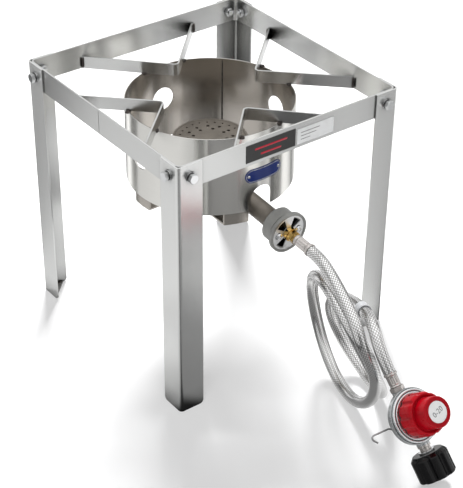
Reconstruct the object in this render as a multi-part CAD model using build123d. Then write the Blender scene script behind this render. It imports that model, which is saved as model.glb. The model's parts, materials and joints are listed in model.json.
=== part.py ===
from build123d import *
import os
from math import cos, pi, radians, sin, sqrt, tan

# Propane burner stove: a square frame of four angle legs and a band, four V pot supports,
# a round shroud with a cast burner, and a braided gas hose to an adjustable regulator.
# Millimetres. The origin is on the floor under the middle of the frame. X runs along the
# front, which faces -Y, and Z is up.

# Driving sizes
frame_side = 305.0
frame_height = 326.0
shroud_radius = 100.0
shroud_height = 99.0
burner_radius = 45.0
hose_diameter = 14.0
regulator_radius = 31.0
overrun = 5.0

os.makedirs("parts", exist_ok=True)


def save(name, *solids):
    """Writes one node; several solids become one group."""
    shape = solids[0] if len(solids) == 1 else Compound(children=list(solids))
    export_step(shape, f"parts/{name}.step")


def turned(*outline):
    """A closed outline of (radius, height) points, turned about Z."""
    return revolve(Plane.XZ * make_face(Polyline(*outline, close=True)), axis=Axis.Z)


def rod(radius, low, high):
    """A round bar about Z between two heights."""
    return Pos(0, 0, low) * Cylinder(radius, high - low, align=(Align.CENTER, Align.CENTER, Align.MIN))


def ring(outer, inner, low, high):
    """A round bar with a bore."""
    return rod(outer, low, high) - rod(inner, low - overrun, high + overrun)


def hexagon(across_flats, low, high, chamfer_share=0.08):
    """A hexagon bar whose upper corners are turned off."""
    corner = across_flats / sqrt(3)
    bevel = chamfer_share * across_flats
    blank = Pos(0, 0, low) * extrude(RegularPolygon(across_flats / 2, 6, major_radius=False), high - low)
    cap = turned((0, low), (corner + bevel, low), (corner + bevel, high - bevel), (corner - bevel, high), (0, high))
    return blank & cap


# Steel stock of the frame
steel = 2.0
leg_flange = 32.0
leg_bend = 2.5
leg_toe = 5.0
band_height = 30.0
band_corner = 7.0
side_half = frame_side / 2
band_half = side_half - steel
band_bottom = frame_height - band_height

# M6 bolts that hold the band in the legs
bolt_inset = 17.0
bolt_radius = 3.0
bolt_hole = 3.3
bolt_head_flats = 10.0
bolt_head = 4.0
flat_washer_radius = 6.25
flat_washer = 1.2
split_washer_radius = 5.3
split_washer = 1.6
split_gap = 0.8
nut_height = 5.0
nut_play = 0.05
bolt_tail = 2.0
bolt_height = frame_height - band_height / 2
bolt_grip = 2 * steel

# Eight bolt places: each looks outward along its own Z
bolt_places = []
for side in range(4):
    for end in (-1, 1):
        along = end * (side_half - bolt_inset)
        bolt_places.append(Rot(0, 0, 90 * side) * Pos(along, -side_half, bolt_height) * Rot(90, 0, 0))


def leg_rear_right():
    """Angle steel with its heel at +X +Y, rounded lower corners and one hole in each flange."""
    corner = (Align.MAX, Align.MAX)
    outer = Pos(side_half, side_half) * Rectangle(leg_flange, leg_flange, align=corner)
    inner = Pos(band_half, band_half) * Rectangle(leg_flange, leg_flange, align=corner)
    section = outer - inner
    section = fillet(section.vertices().sort_by(lambda v: v.X + v.Y)[-2], leg_bend)
    section = fillet(section.vertices().sort_by(lambda v: v.X + v.Y)[-1], leg_bend + steel)
    leg = extrude(section, frame_height)
    toe_x = leg.edges().filter_by(Axis.Y).group_by(Axis.Z)[0].sort_by(Axis.X)[0]
    leg = fillet(toe_x, leg_toe)
    toe_y = leg.edges().filter_by(Axis.X).group_by(Axis.Z)[0].sort_by(Axis.Y)[0]
    leg = fillet(toe_y, leg_toe)
    for place in bolt_places:
        leg -= place * rod(bolt_hole, -bolt_grip - overrun, overrun)
    return leg


rear_right = leg_rear_right()
rear_left = mirror(rear_right, about=Plane.YZ)
save("leg_rear_right", rear_right)
save("leg_rear_left", rear_left)
save("leg_front_right", mirror(rear_right, about=Plane.XZ))
save("leg_front_left", mirror(rear_left, about=Plane.XZ))

# Triangular foot plates between the flanges, on the floor
foot_clear = 1.5
foot_reach = leg_flange - steel - leg_toe
foot_corner = leg_bend + foot_clear
foot_outline = Polyline(
    (band_half - foot_corner, band_half),
    (band_half - foot_reach, band_half),
    (band_half, band_half - foot_reach),
    (band_half, band_half - foot_corner),
    close=True,
)
foot = extrude(make_face(foot_outline), steel)
save("foot_plates", *[Rot(0, 0, 90 * quarter) * foot for quarter in range(4)])

# The band: one closed strip inside the legs, flush with their tops
band_outer = RectangleRounded(2 * band_half, 2 * band_half, band_corner)
band_inner = RectangleRounded(2 * band_half - 2 * steel, 2 * band_half - 2 * steel, band_corner - steel)
band = Pos(0, 0, band_bottom) * extrude(band_outer - band_inner, band_height)
for place in bolt_places:
    band -= place * rod(bolt_hole, -bolt_grip - overrun, overrun)
save("top_band", band)

# Fasteners of the frame, one of each at every place
bolt_under_head = flat_washer + split_washer
bolt = hexagon(bolt_head_flats, bolt_under_head, bolt_under_head + bolt_head)
bolt += rod(bolt_radius, -bolt_grip - nut_height - bolt_tail, bolt_under_head + bolt_head / 2)
washer = ring(flat_washer_radius, bolt_hole, 0, flat_washer)
spring_washer = ring(split_washer_radius, bolt_hole, flat_washer, bolt_under_head)
spring_washer -= Pos(split_washer_radius, 0, bolt_under_head) * Box(2 * split_washer_radius, split_gap, overrun)
nut = Rot(180, 0, 0) * hexagon(bolt_head_flats, bolt_grip, bolt_grip + nut_height)
nut -= rod(bolt_radius + nut_play, -bolt_grip - nut_height - overrun, 0)
save("frame_bolts", *[place * bolt for place in bolt_places])
save("bolt_flat_washers", *[place * washer for place in bolt_places])
save("bolt_split_washers", *[place * spring_washer for place in bolt_places])
save("frame_nuts", *[place * nut for place in bolt_places])

# Pot supports: a strip on edge bent to a V, its ends welded to the inside of the band
support_height = 15.0
support_bend = 5.0
support_apex = 65.0
support_half_spread = 80.0
rail_inner = band_half - steel
support_slope = (rail_inner - support_apex) / support_half_spread
support_line = FilletPolyline(
    (-support_half_spread - overrun, -rail_inner - overrun * support_slope),
    (0, -support_apex),
    (support_half_spread + overrun, -rail_inner - overrun * support_slope),
    radius=support_bend,
)
support = Pos(0, 0, band_bottom) * extrude(trace(support_line, steel), support_height)
rail_side = Pos(0, -rail_inner, band_bottom) * Box(
    2 * side_half, 2 * side_half, 2 * support_height + overrun, align=(Align.CENTER, Align.MAX, Align.CENTER)
)
support -= rail_side
for quarter, name in enumerate(("front", "right", "rear", "left")):
    save(f"pot_support_{name}", Rot(0, 0, 90 * quarter) * support)

# Shroud: rolled sheet under the supports, three round holes and a notch for the burner tube
shroud_wall = 1.5
shroud_top = band_bottom
shroud_bottom = shroud_top - shroud_height
shroud_hole = 15.0
shroud_hole_drop = 46.0
notch_half = 14.5
notch_rise = 29.0
notch_ear = 8.0
shroud_hole_height = shroud_top - shroud_hole_drop
notch_top = shroud_bottom + notch_rise
shroud_inner = shroud_radius - shroud_wall
shroud = ring(shroud_radius, shroud_inner, shroud_bottom, shroud_top)
for angle in (0, 90, 180):
    shroud -= Rot(0, 0, angle) * Pos(shroud_radius, 0, shroud_hole_height) * Rot(0, 90, 0) * Cylinder(
        shroud_hole, 2 * notch_half
    )
notch = Pos(0, (notch_top - notch_half + shroud_bottom - overrun) / 2) * Rectangle(
    2 * notch_half, notch_top - notch_half - shroud_bottom + overrun
)
notch += Pos(0, notch_top - notch_half) * Circle(notch_half)
relief = Pos(-notch_half, shroud_bottom) * Rectangle(notch_ear, notch_ear, align=(Align.MAX, Align.MIN))
relief -= Pos(-notch_half - notch_ear, shroud_bottom + notch_ear) * Circle(notch_ear)
notch += relief
notch_cut = Pos(0, -shroud_radius + 2 * notch_half, 0) * extrude(Plane.XZ * notch, 2 * notch_half + overrun)
shroud -= notch_cut

# Mixer axis: the line of the burner tube, air cup and gas fitting, sloping down to the front
mixer_slope = 4.0
mixer_start = 126.0
mixer_drop = 7.3
mixer_height = shroud_bottom - mixer_drop
mixer_frame = Plane(
    origin=(0, -mixer_start, mixer_height),
    x_dir=(1, 0, 0),
    z_dir=(0, -cos(radians(mixer_slope)), -sin(radians(mixer_slope))),
)
mixer = mixer_frame.location
elbow_height = mixer_height + mixer_start * tan(radians(mixer_slope))

# Burner: cast bowl, elbow and tube in one piece, with a drilled cap in its rim
tube_radius = 11.75
tube_bore = 9.0
tube_in_cup = 9.0
cast_wall = 3.0
burner_rise = 52.8
rim_depth = 12.0
cap_thickness = 6.0
cap_play = 0.3
cap_ledge = 3.0
foot_radius = 13.0
foot_drop = 13.0
neck_radius = 12.6
neck_rise = 13.4
burner_bolt_radius = 3.0
burner_bolt_depth = 3.2
tube_length = mixer_start / cos(radians(mixer_slope))
burner_top = mixer_height + burner_rise
rim_bottom = burner_top - rim_depth
neck_top = elbow_height + neck_rise
strap_top = elbow_height - foot_drop
cap_radius = burner_radius - cast_wall
cap_bottom = burner_top - cap_thickness

elbow = Pos(0, 0, elbow_height)
tube = mixer * rod(tube_radius, -tube_length, tube_in_cup)
bowl = turned(
    (tube_bore, elbow_height),
    (neck_radius, elbow_height),
    (neck_radius, neck_top),
    (burner_radius, rim_bottom),
    (burner_radius, burner_top),
    (cap_radius, burner_top),
    (cap_radius, cap_bottom),
    (cap_radius - cap_ledge, cap_bottom),
    (cap_radius - cap_ledge, rim_bottom + cast_wall),
    (tube_bore, neck_top + cast_wall),
)
burner = bowl + tube + elbow * Sphere(neck_radius) + rod(foot_radius, strap_top, elbow_height)
burner -= mixer * rod(tube_bore, -tube_length, tube_in_cup + overrun)
burner -= elbow * Sphere(tube_bore) + rod(tube_bore, elbow_height, neck_top + cast_wall)
burner -= rod(burner_bolt_radius, strap_top - overrun, strap_top + burner_bolt_depth)
save("burner_body", burner)

# Cap: a drilled disc that lies on the ledge in the rim
inner_port_inset = 22.0
outer_port_inset = 15.0
rim_port_inset = 6.0
cap_web_inset = 9.0
port_radius = 2.0
inner_port_circle = cap_radius - inner_port_inset
inner_ports = 8
outer_port_circle = cap_radius - outer_port_inset
outer_ports = 12
rim_port_radius = 1.25
rim_port_circle = cap_radius - rim_port_inset
rim_ports = 24
cap_recess = 3.0
cap_web_radius = cap_radius - cap_web_inset
cap = rod(cap_radius - cap_play, cap_bottom, burner_top)
cap -= rod(cap_web_radius, cap_bottom - overrun, cap_bottom + cap_recess)
for circle, count in ((inner_port_circle, inner_ports), (outer_port_circle, outer_ports)):
    for index in range(count):
        cap -= Rot(0, 0, 360 * index / count) * Pos(circle, 0, 0) * rod(port_radius, cap_bottom, burner_top + overrun)
for index in range(rim_ports):
    place = Rot(0, 0, 360 * index / rim_ports) * Pos(rim_port_circle, 0, 0)
    cap -= place * rod(rim_port_radius, cap_bottom - overrun, burner_top + overrun)
save("burner_cap", cap)

# Straps under the shroud: flat webs with ends turned up inside the wall
strap_width = 28.0
strap_play = 0.1
tab_rise = 14.0
cross_offset = -30.0
bolt_play = 0.2
tab_radius = shroud_inner - strap_play


def strap(top):
    """A flat web along X with both ends turned up against the shroud's wall."""
    band_of_width = Pos(0, 0, top) * Box(2 * shroud_radius, strap_width, 2 * shroud_height)
    web = rod(tab_radius, top - steel, top)
    tabs = ring(tab_radius, tab_radius - steel, top - steel, shroud_bottom + tab_rise)
    return (web + tabs) & band_of_width


long_strap = strap(strap_top)
long_strap -= rod(burner_bolt_radius + bolt_play, strap_top - steel - overrun, strap_top + overrun)
save("burner_strap_long", long_strap)

cross_top = strap_top - steel
cross_width = Pos(cross_offset, 0, cross_top) * Box(strap_width, 2 * shroud_radius, 2 * shroud_height)
cross_strap = rod(tab_radius, cross_top - steel, cross_top)
cross_strap += ring(tab_radius, tab_radius - steel, cross_top - steel, shroud_bottom + tab_rise)
save("burner_strap_cross", cross_strap & cross_width)

# Bolt from below that holds the burner's foot on the long strap
burner_bolt = Rot(180, 0, 0) * hexagon(bolt_head_flats, steel - strap_top, steel - strap_top + bolt_head)
burner_bolt += rod(burner_bolt_radius - nut_play, cross_top - bolt_head / 2, strap_top + burner_bolt_depth)
save("burner_bolt", burner_bolt)

# Air cup on the end of the tube: flared lip, front wall with four windows
cup_radius = 21.0
cup_length = 25.5
cup_wall = 2.5
cup_back = 3.0
cup_round = 3.0
lip_radius = 25.25
lip_length = 4.5
lip_flare = 4.0
seat_radius = 22.4
seat_depth = 2.0
front_wall = 3.0
spigot_radius = 5.0
window_inner = 8.0
window_outer = 18.3
window_half = 19.0
window_angle = 52.0
shutter_travel = 12.0
tube_play = 0.05
seat_face = cup_length - seat_depth


def sector(inner, outer, angle, half):
    """A ring's sector, in the XY plane, about an angle in degrees."""
    reach = 2 * outer
    wedge = make_face(
        Polyline(
            (0, 0),
            (reach * cos(radians(angle - half)), reach * sin(radians(angle - half))),
            (reach * cos(radians(angle + half)), reach * sin(radians(angle + half))),
            close=True,
        )
    )
    return (Circle(outer) - Circle(inner)) & wedge


window_angles = (window_angle, 180 - window_angle, 180 + window_angle, 360 - window_angle)
cup = turned(
    (tube_radius + tube_play, 0),
    (cup_radius - cup_round, 0),
    (cup_radius, cup_round),
    (cup_radius, cup_length - lip_length - lip_flare),
    (lip_radius, cup_length - lip_length),
    (lip_radius, cup_length),
    (seat_radius, cup_length),
    (seat_radius, seat_face),
    (spigot_radius + nut_play, seat_face),
    (spigot_radius + nut_play, seat_face - front_wall),
    (cup_radius - cup_wall, seat_face - front_wall),
    (cup_radius - cup_wall, cup_back),
    (tube_radius + tube_play, cup_back),
)
for angle in window_angles:
    opening = sector(window_inner, window_outer, angle + shutter_travel, window_half)
    cup -= Pos(0, 0, seat_face - front_wall - overrun / 2) * extrude(opening, front_wall + overrun)

# Two domed screws hold the shutter and run in its slots
screw_circle = 14.0
screw_radius = 2.0
screw_head_radius = 4.0
screw_head = 2.6
shutter_sheet = 1.2
shutter_play = 0.1
slot_play = 0.3
head_seat = seat_face + shutter_play + shutter_sheet + shutter_play
screw_dome = (screw_head_radius ** 2 + screw_head ** 2) / (2 * screw_head)
screw_head_solid = Pos(0, 0, head_seat + screw_head - screw_dome) * Sphere(screw_dome)
screw_head_solid &= rod(screw_head_radius, head_seat, head_seat + screw_head)
screw = screw_head_solid + rod(screw_radius, seat_face - front_wall, head_seat + screw_head / 2)
screw_places = [Pos(end * screw_circle, 0, 0) for end in (-1, 1)]
for place in screw_places:
    cup -= place * rod(screw_radius + nut_play, seat_face - front_wall - overrun, cup_length)
save("mixer_cup", mixer * cup)
save("shutter_screws", *[mixer * place * screw for place in screw_places])

# Air shutter: a disc with four windows and two arc slots, turning on the gas fitting
shutter_edge_play = 0.15
shutter_radius = seat_radius - shutter_edge_play
shutter_window_outer = 20.0
shutter = Circle(shutter_radius) - Circle(spigot_radius + nut_play)
for angle in window_angles:
    shutter -= sector(window_inner, shutter_window_outer, angle, window_half)
slot_radius = screw_radius + slot_play
for angle in (0, 180):
    shutter -= sector(screw_circle - slot_radius, screw_circle + slot_radius, angle, shutter_travel)
    for end in (-1, 1):
        shutter -= Rot(0, 0, angle + end * shutter_travel) * Pos(screw_circle, 0) * Circle(slot_radius)
save("air_shutter", mixer * Pos(0, 0, seat_face + shutter_play) * extrude(shutter, shutter_sheet))

# Gas fitting: orifice tip inside the cup, spigot through the shutter, hexagon in front
fitting_flats = 14.6
fitting_hex = 5.0
fitting_tip = 9.0
fitting_tip_radius = 3.5
fitting_bore = 2.0
orifice_radius = 0.6
orifice_length = 2.0
thread_length = 3.0
fitting_back = head_seat + shutter_play
fitting_front = fitting_back + fitting_hex
fitting = hexagon(fitting_flats, fitting_back, fitting_front)
fitting += rod(spigot_radius, seat_face - front_wall, fitting_front + thread_length)
fitting += rod(fitting_tip_radius, seat_face - front_wall - fitting_tip, fitting_back)
fitting -= rod(orifice_radius, 0, cup_length)
fitting -= rod(fitting_bore, seat_face - front_wall - fitting_tip + orifice_length, 2 * cup_length)
save("orifice_fitting", mixer * fitting)

# Swivel nut that joins the hose's stem to the gas fitting
swivel_flats = 12.4
swivel_length = 10.0
stem_radius = 4.0
stem_bore = 3.0
swivel_back = fitting_front + shutter_play
swivel_front = swivel_back + swivel_length
stem_start = fitting_front + thread_length + shutter_play
swivel = hexagon(swivel_flats, swivel_back, swivel_front)
swivel -= rod(spigot_radius + nut_play, swivel_back - overrun, stem_start)
swivel -= rod(stem_radius + nut_play, swivel_back, swivel_front + overrun)
save("swivel_nut", mixer * swivel)

# Crimped ferrule on the burner end of the hose
ferrule_radius = 6.35
ferrule_length = 25.0
collar_radius = 7.6
collar_length = 4.0
ferrule_start = swivel_front + shutter_play
hose_start = ferrule_start + ferrule_length
ferrule = rod(ferrule_radius, ferrule_start, hose_start) + rod(collar_radius, hose_start - collar_length, hose_start)
ferrule += rod(stem_radius, stem_start, hose_start)
ferrule -= rod(stem_bore, stem_start - overrun, hose_start + overrun)
save("burner_ferrule", mixer * ferrule)

# Regulator frame: its Z is the knob's axis and its X points from the hose to the inlet. It
# leans on the rim of the inlet handwheel, which stands on the floor.
knob_azimuth = -88.6
knob_elevation = 40.3
inlet_roll = 2.6
regulator_x = -2.2
regulator_y = -373.0
port_height = -4.0
handwheel_start = 42.0
handwheel_length = 30.0
handwheel_radius = 21.25
azimuth, elevation, roll = radians(knob_azimuth), radians(knob_elevation), radians(inlet_roll)
knob_way = Vector(cos(elevation) * cos(azimuth), cos(elevation) * sin(azimuth), sin(elevation))
level_way = Vector(-sin(azimuth), cos(azimuth), 0)
inlet_way = level_way * sin(roll) - knob_way.cross(level_way) * cos(roll)
rim_drop = (handwheel_start + handwheel_length) * -inlet_way.Z + handwheel_radius * sqrt(1 - inlet_way.Z ** 2)
regulator_z = rim_drop - port_height * knob_way.Z
regulator_frame = Plane(origin=(regulator_x, regulator_y, regulator_z), x_dir=inlet_way, z_dir=knob_way)
regulator = regulator_frame.location
inlet = regulator * Pos(0, 0, port_height) * Rot(0, 90, 0)
outlet = regulator * Pos(0, 0, port_height) * Rot(0, -90, 0)
print("regulator centre", regulator_frame.origin, "knob", knob_way, "inlet", inlet_way)

# Regulator body: cast pan with a chamber, a crimped rim and two ports
rim_low = -1.0
seat_height = 2.0
rim_lip = 4.0
rim_wall = 1.2
body_back = -14.0
body_waist = 26.0
back_radius = 21.0
back_rise = 5.0
chamber_radius = 23.0
chamber_floor = -10.0
boss_radius = 7.5
outlet_boss = 31.0
inlet_boss = 33.0
port_thread = 4.5
port_thread_start = 24.0
port_bore = 2.5
nozzle_radius = 3.5
nozzle_tip = 8.0
nozzle_bore = 0.9
nozzle_throat = 3.0
nozzle_root = 2.5
lip_inner = regulator_radius - rim_wall
along_inlet = Pos(0, 0, port_height) * Rot(0, 90, 0)
along_outlet = Pos(0, 0, port_height) * Rot(0, -90, 0)
body = turned(
    (0, body_back),
    (back_radius, body_back),
    (body_waist, body_back + back_rise),
    (body_waist, rim_low),
    (regulator_radius, rim_low),
    (regulator_radius, rim_lip),
    (0, rim_lip),
)
body += along_inlet * rod(boss_radius, chamber_radius, inlet_boss)
body += along_outlet * rod(boss_radius, chamber_radius, outlet_boss)
body -= rod(lip_inner, seat_height, rim_lip + overrun)
body -= rod(chamber_radius, chamber_floor, rim_lip)
body += along_inlet * rod(nozzle_radius, nozzle_tip, chamber_radius + nozzle_root)
body -= along_inlet * rod(nozzle_bore, 0, chamber_radius)
body -= along_inlet * rod(port_bore, nozzle_tip + nozzle_throat, inlet_boss + overrun)
body -= along_inlet * rod(port_thread, port_thread_start, inlet_boss + overrun)
body -= along_outlet * rod(port_bore, 0, outlet_boss + overrun)
body -= along_outlet * rod(port_thread, port_thread_start, outlet_boss + overrun)

# Valve lever on its pin between two ears of the chamber floor
pin_x = 5.6
pin_height = -8.2
pin_radius = 1.0
pin_half = 6.0
ear_half = 2.2
ear_top = -6.5
ear_inner = 3.3
lever_half = 2.9
lever_hub = 1.5
lever_play = 0.05
pin_play = 0.025
lever_sheet = 1.2
lever_arm_top = -1.5
lever_arm_end = -3.0
lever_face = 6.2
pad_radius = 2.2
pad_gap = 0.3
across = Pos(pin_x, 0, pin_height) * Rot(-90, 0, 0)
for end in (-1, 1):
    ear = Pos(pin_x, end * (ear_inner + pin_half) / 2, (ear_top + chamber_floor) / 2) * Box(
        2 * ear_half, pin_half - ear_inner, ear_top - chamber_floor
    )
    body += ear
body -= across * rod(pin_radius, -pin_half - overrun, pin_half + overrun)
pin = across * rod(pin_radius - pin_play, -pin_half, pin_half)
save("lever_pin", regulator * pin)

lever_wall = Pos(lever_face - lever_sheet / 2, 0, (pin_height + lever_arm_top) / 2) * Box(
    lever_sheet, 2 * lever_half, lever_arm_top - pin_height
)
lever_arm = Pos((lever_face + lever_arm_end) / 2, 0, lever_arm_top - lever_sheet / 2) * Box(
    lever_face - lever_arm_end, 2 * lever_half, lever_sheet
)
lever = lever_wall + lever_arm + across * rod(lever_hub, -lever_half, lever_half)
lever -= across * rod(pin_radius + lever_play, -pin_half, pin_half)
save("valve_lever", regulator * lever)
pad = along_inlet * rod(pad_radius, lever_face, nozzle_tip - pad_gap)
save("valve_pad", regulator * pad)

# Diaphragm clamped in the rim, with its plate and stem over the lever
diaphragm_thickness = 1.0
diaphragm_play = 0.3
plate_radius = 14.0
plate_thickness = 1.0
plate_play = 0.05
plate_stem = 1.5
diaphragm_top = seat_height + diaphragm_thickness
plate_low = diaphragm_top + plate_play
plate_high = plate_low + plate_thickness
diaphragm = ring(lip_inner - diaphragm_play, plate_stem + diaphragm_play, seat_height, diaphragm_top)
save("diaphragm", regulator * diaphragm)
plate = rod(plate_radius, plate_low, plate_high) + rod(plate_stem, lever_arm_top + pad_gap, plate_low)
save("diaphragm_plate", regulator * plate)

# Cover: crimped flange, face and the neck that holds the spring
cover_flange = 6.5
cover_face = 8.0
cover_wall = 2.0
cover_edge = 27.5
neck_outer = 11.0
neck_inner = 9.2
cover_neck_top = 38.0
screw_turn_radius = 3.0
collar_low = 33.9
collar_high = 35.9
collar_turn_radius = 6.0
cover = turned(
    (lip_inner - diaphragm_play, diaphragm_top),
    (lip_inner - diaphragm_play, cover_flange),
    (cover_edge, cover_face),
    (neck_outer, cover_face),
    (neck_outer, cover_neck_top),
    (screw_turn_radius + nut_play, cover_neck_top),
    (screw_turn_radius + nut_play, cover_neck_top - cover_wall),
    (neck_inner, cover_neck_top - cover_wall),
    (neck_inner, cover_face - cover_wall),
    (chamber_radius, cover_face - cover_wall),
    (chamber_radius, diaphragm_top),
)
save("regulator_cover", regulator * cover)

# Adjusting screw with its collar under the neck's top, and the plate that travels on it
screw_low = 14.0
screw_high = 43.0
travel_plate_low = 24.3
travel_plate = 2.5
travel_play = 0.2
screw_turn = rod(screw_turn_radius, screw_low, screw_high) + rod(collar_turn_radius, collar_low, collar_high)
save("adjusting_screw", regulator * screw_turn)
spring_plate = ring(
    neck_inner - travel_play, screw_turn_radius + nut_play, travel_plate_low, travel_plate_low + travel_plate
)
save("spring_plate", regulator * spring_plate)

# Knob: scalloped skirt, cone and crown with a recess for the dial disc
knob_radius = 24.0
knob_low = 9.0
knob_edge = 1.5
skirt_top = 26.0
shoulder_radius = 22.0
shoulder_top = 29.5
crown_base_radius = 18.5
crown_base = 31.5
crown_radius = 17.3
crown_top = 46.0
crown_edge = 1.8
knob_wall = 2.5
hub_radius = 6.0
dial_radius = 11.75
dial_recess = 0.6
dial_sheet = 0.5
dial_play = 0.05
scallops = 10
scallop_radius = 4.5
scallop_depth = 1.6
knob_neck_play = 0.5
knob_roof_gap = 1.5
knob_screw_play = 0.025
knob_roof = cover_neck_top + knob_roof_gap
knob_bore = neck_outer + knob_neck_play
knob = turned(
    (0, knob_roof),
    (knob_bore, knob_roof),
    (knob_bore, knob_low),
    (neck_outer + knob_wall, knob_low),
    (neck_outer + knob_wall, skirt_top),
    (knob_radius - 2 * knob_wall, skirt_top),
    (knob_radius - 2 * knob_wall, knob_low),
    (knob_radius - knob_edge, knob_low),
    (knob_radius, knob_low + knob_edge),
    (knob_radius, skirt_top),
    (shoulder_radius, shoulder_top),
    (crown_base_radius, crown_base),
    (crown_radius, crown_top - crown_edge),
    (crown_radius - crown_edge, crown_top),
    (dial_radius + dial_play, crown_top),
    (dial_radius + dial_play, crown_top - dial_recess),
    (0, crown_top - dial_recess),
)
for index in range(scallops):
    place = Rot(0, 0, 360 * index / scallops) * Pos(knob_radius + scallop_radius - scallop_depth, 0, 0)
    knob -= place * rod(scallop_radius, knob_low - overrun, shoulder_top + overrun)
knob -= rod(screw_turn_radius + knob_screw_play, knob_low, screw_high)
save("knob", regulator * knob)
dial = rod(dial_radius, crown_top - dial_recess, crown_top - dial_recess + dial_sheet)
save("dial_disc", regulator * dial)

# Inlet nipple, its ring and seal, and the handwheel that turns on it
nipple_radius = 6.3
nipple_shoulder = 7.5
nipple_shoulder_length = 2.5
nipple_flange = 10.0
nipple_flange_length = 3.0
probe_radius = 7.0
probe_end = 66.0
probe_taper = 4.0
probe_tip = 5.0
seal_groove = 5.6
seal_low = 57.0
seal_width = 2.0
seal_play = 0.05
handwheel_wall = 4.0
handwheel_bore = 15.5
handwheel_flutes = 6
flute_radius = 5.0
flute_depth = 2.6
handwheel_nose = 17.5
handwheel_bevel = 4.0
handwheel_edge = 1.5
ring_radius = 9.0
ring_low = 40.0
running_play = 0.1
handwheel_floor = handwheel_start + handwheel_wall
handwheel_end = handwheel_start + handwheel_length
nipple = turned(
    (port_bore, port_thread_start),
    (port_thread - nut_play, port_thread_start),
    (port_thread - nut_play, inlet_boss),
    (nipple_shoulder, inlet_boss),
    (nipple_shoulder, inlet_boss + nipple_shoulder_length),
    (nipple_radius, inlet_boss + nipple_shoulder_length),
    (nipple_radius, handwheel_floor + running_play),
    (nipple_flange, handwheel_floor + running_play),
    (nipple_flange, handwheel_floor + nipple_flange_length),
    (probe_radius, handwheel_floor + nipple_flange_length),
    (probe_radius, seal_low),
    (seal_groove, seal_low),
    (seal_groove, seal_low + seal_width),
    (probe_radius, seal_low + seal_width),
    (probe_radius, probe_end - probe_taper),
    (probe_tip, probe_end),
    (port_bore, probe_end),
)
save("inlet_nipple", inlet * nipple)
seal = ring(probe_radius + seal_play, seal_groove + seal_play, seal_low + seal_play, seal_low + seal_width - seal_play)
save("inlet_seal", inlet * seal)
save("retaining_ring", inlet * ring(ring_radius, nipple_radius + nut_play, ring_low, handwheel_start - pad_gap))
handwheel = turned(
    (nipple_radius + nut_play, handwheel_start),
    (handwheel_nose, handwheel_start),
    (handwheel_radius, handwheel_start + handwheel_bevel),
    (handwheel_radius, handwheel_end - handwheel_edge),
    (handwheel_radius - handwheel_edge, handwheel_end),
    (handwheel_bore, handwheel_end),
    (handwheel_bore, handwheel_floor),
    (nipple_radius + nut_play, handwheel_floor),
)
for index in range(handwheel_flutes):
    place = Rot(0, 0, 360 * index / handwheel_flutes) * Pos(handwheel_radius + flute_radius - flute_depth, 0, 0)
    handwheel -= place * rod(flute_radius, handwheel_start - overrun, handwheel_end + overrun)
save("connector_handwheel", inlet * handwheel)

# Outlet: hexagon fitting in the port and the ferrule on the hose's end
outlet_flats = 14.0
outlet_hex = 5.0
outlet_ferrule = 16.0
outlet_ferrule_radius = 6.9
outlet_front = outlet_boss + outlet_hex
outlet_end = outlet_front + outlet_ferrule
outlet_body = hexagon(outlet_flats, outlet_boss, outlet_front)
outlet_body += rod(port_thread - nut_play, port_thread_start, outlet_boss + outlet_hex / 2)
outlet_body += rod(stem_radius, outlet_front - outlet_hex / 2, outlet_end)
outlet_body -= rod(port_bore, port_thread_start - overrun, outlet_end + overrun)
save("outlet_fitting", outlet * outlet_body)
end_ferrule = rod(outlet_ferrule_radius, outlet_front, outlet_end)
end_ferrule += rod(collar_radius, outlet_end - collar_length, outlet_end)
end_ferrule -= rod(stem_radius + nut_play, outlet_front - overrun, outlet_end + overrun)
save("regulator_ferrule", outlet * end_ferrule)

# Wire hook: a bent wire whose root sits in a hole in the side of the body
hook_radius = 1.0
hook_bend = 3.0
hook_height = -8.0
hook_play = 0.05
hook_points = [(4.5, -22.5), (-0.3, -29.5), (-3.3, -57.4), (6.5, -49.5)]
hook_line = Pos(0, 0, hook_height) * FilletPolyline(*hook_points, radius=hook_bend)
hook_section = Plane(origin=hook_line @ 0, z_dir=hook_line % 0)
save("wire_hook", regulator * sweep(hook_section * Circle(hook_radius), path=hook_line))
body -= hook_section.location * rod(hook_radius + hook_play, 0, 2 * overrun)
save("regulator_body", regulator * body)

# Control spring between the diaphragm plate and the travelling plate
spring_radius = 6.8
spring_wire = 1.0
spring_turns = 5
spring_play = 0.05


def unit_blend(points, share):
    """Weights of a first, a middle and a last value at a share of the way."""
    first = (1 - share) * (1 - 2 * share)
    middle = 4 * share * (1 - share)
    return points[0] * first + points[1] * middle + points[2] * (share * (2 * share - 1))


def biarc(start, start_way, end, end_way):
    """Two tangent arcs from one place and direction to another."""
    gap = end - start
    lean = start_way + end_way
    spread = 2 * (1 - start_way.dot(end_way))
    reach = (sqrt(gap.dot(lean) ** 2 + spread * gap.dot(gap)) - gap.dot(lean)) / spread
    first_corner = start + start_way * reach
    last_corner = end - end_way * reach
    middle = (first_corner + last_corner) * 0.5
    return [
        TangentArc(start, middle, tangent=start_way),
        TangentArc(middle, end, tangent=last_corner - first_corner),
    ]


def wound(places, ways, radius):
    """An unbroken tube through places, each with its direction."""
    arcs = []
    for start, start_way, end, end_way in zip(places, ways, places[1:], ways[1:]):
        arcs += biarc(start, start_way, end, end_way)
    path = Wire(arcs)
    return sweep(Plane(origin=places[0], z_dir=ways[0]) * Circle(radius), path=path), path


def self_gap(path, radius, apart):
    """Least gap of a wound tube to itself, between points at least so far apart along it."""
    count = int(path.length / radius)
    points = [path @ (index / count) for index in range(count + 1)]
    step = path.length / count
    skip = int(apart / step)
    nearest = min((a - b).length for i, a in enumerate(points) for b in points[i + skip:])
    return nearest - 2 * radius


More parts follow.
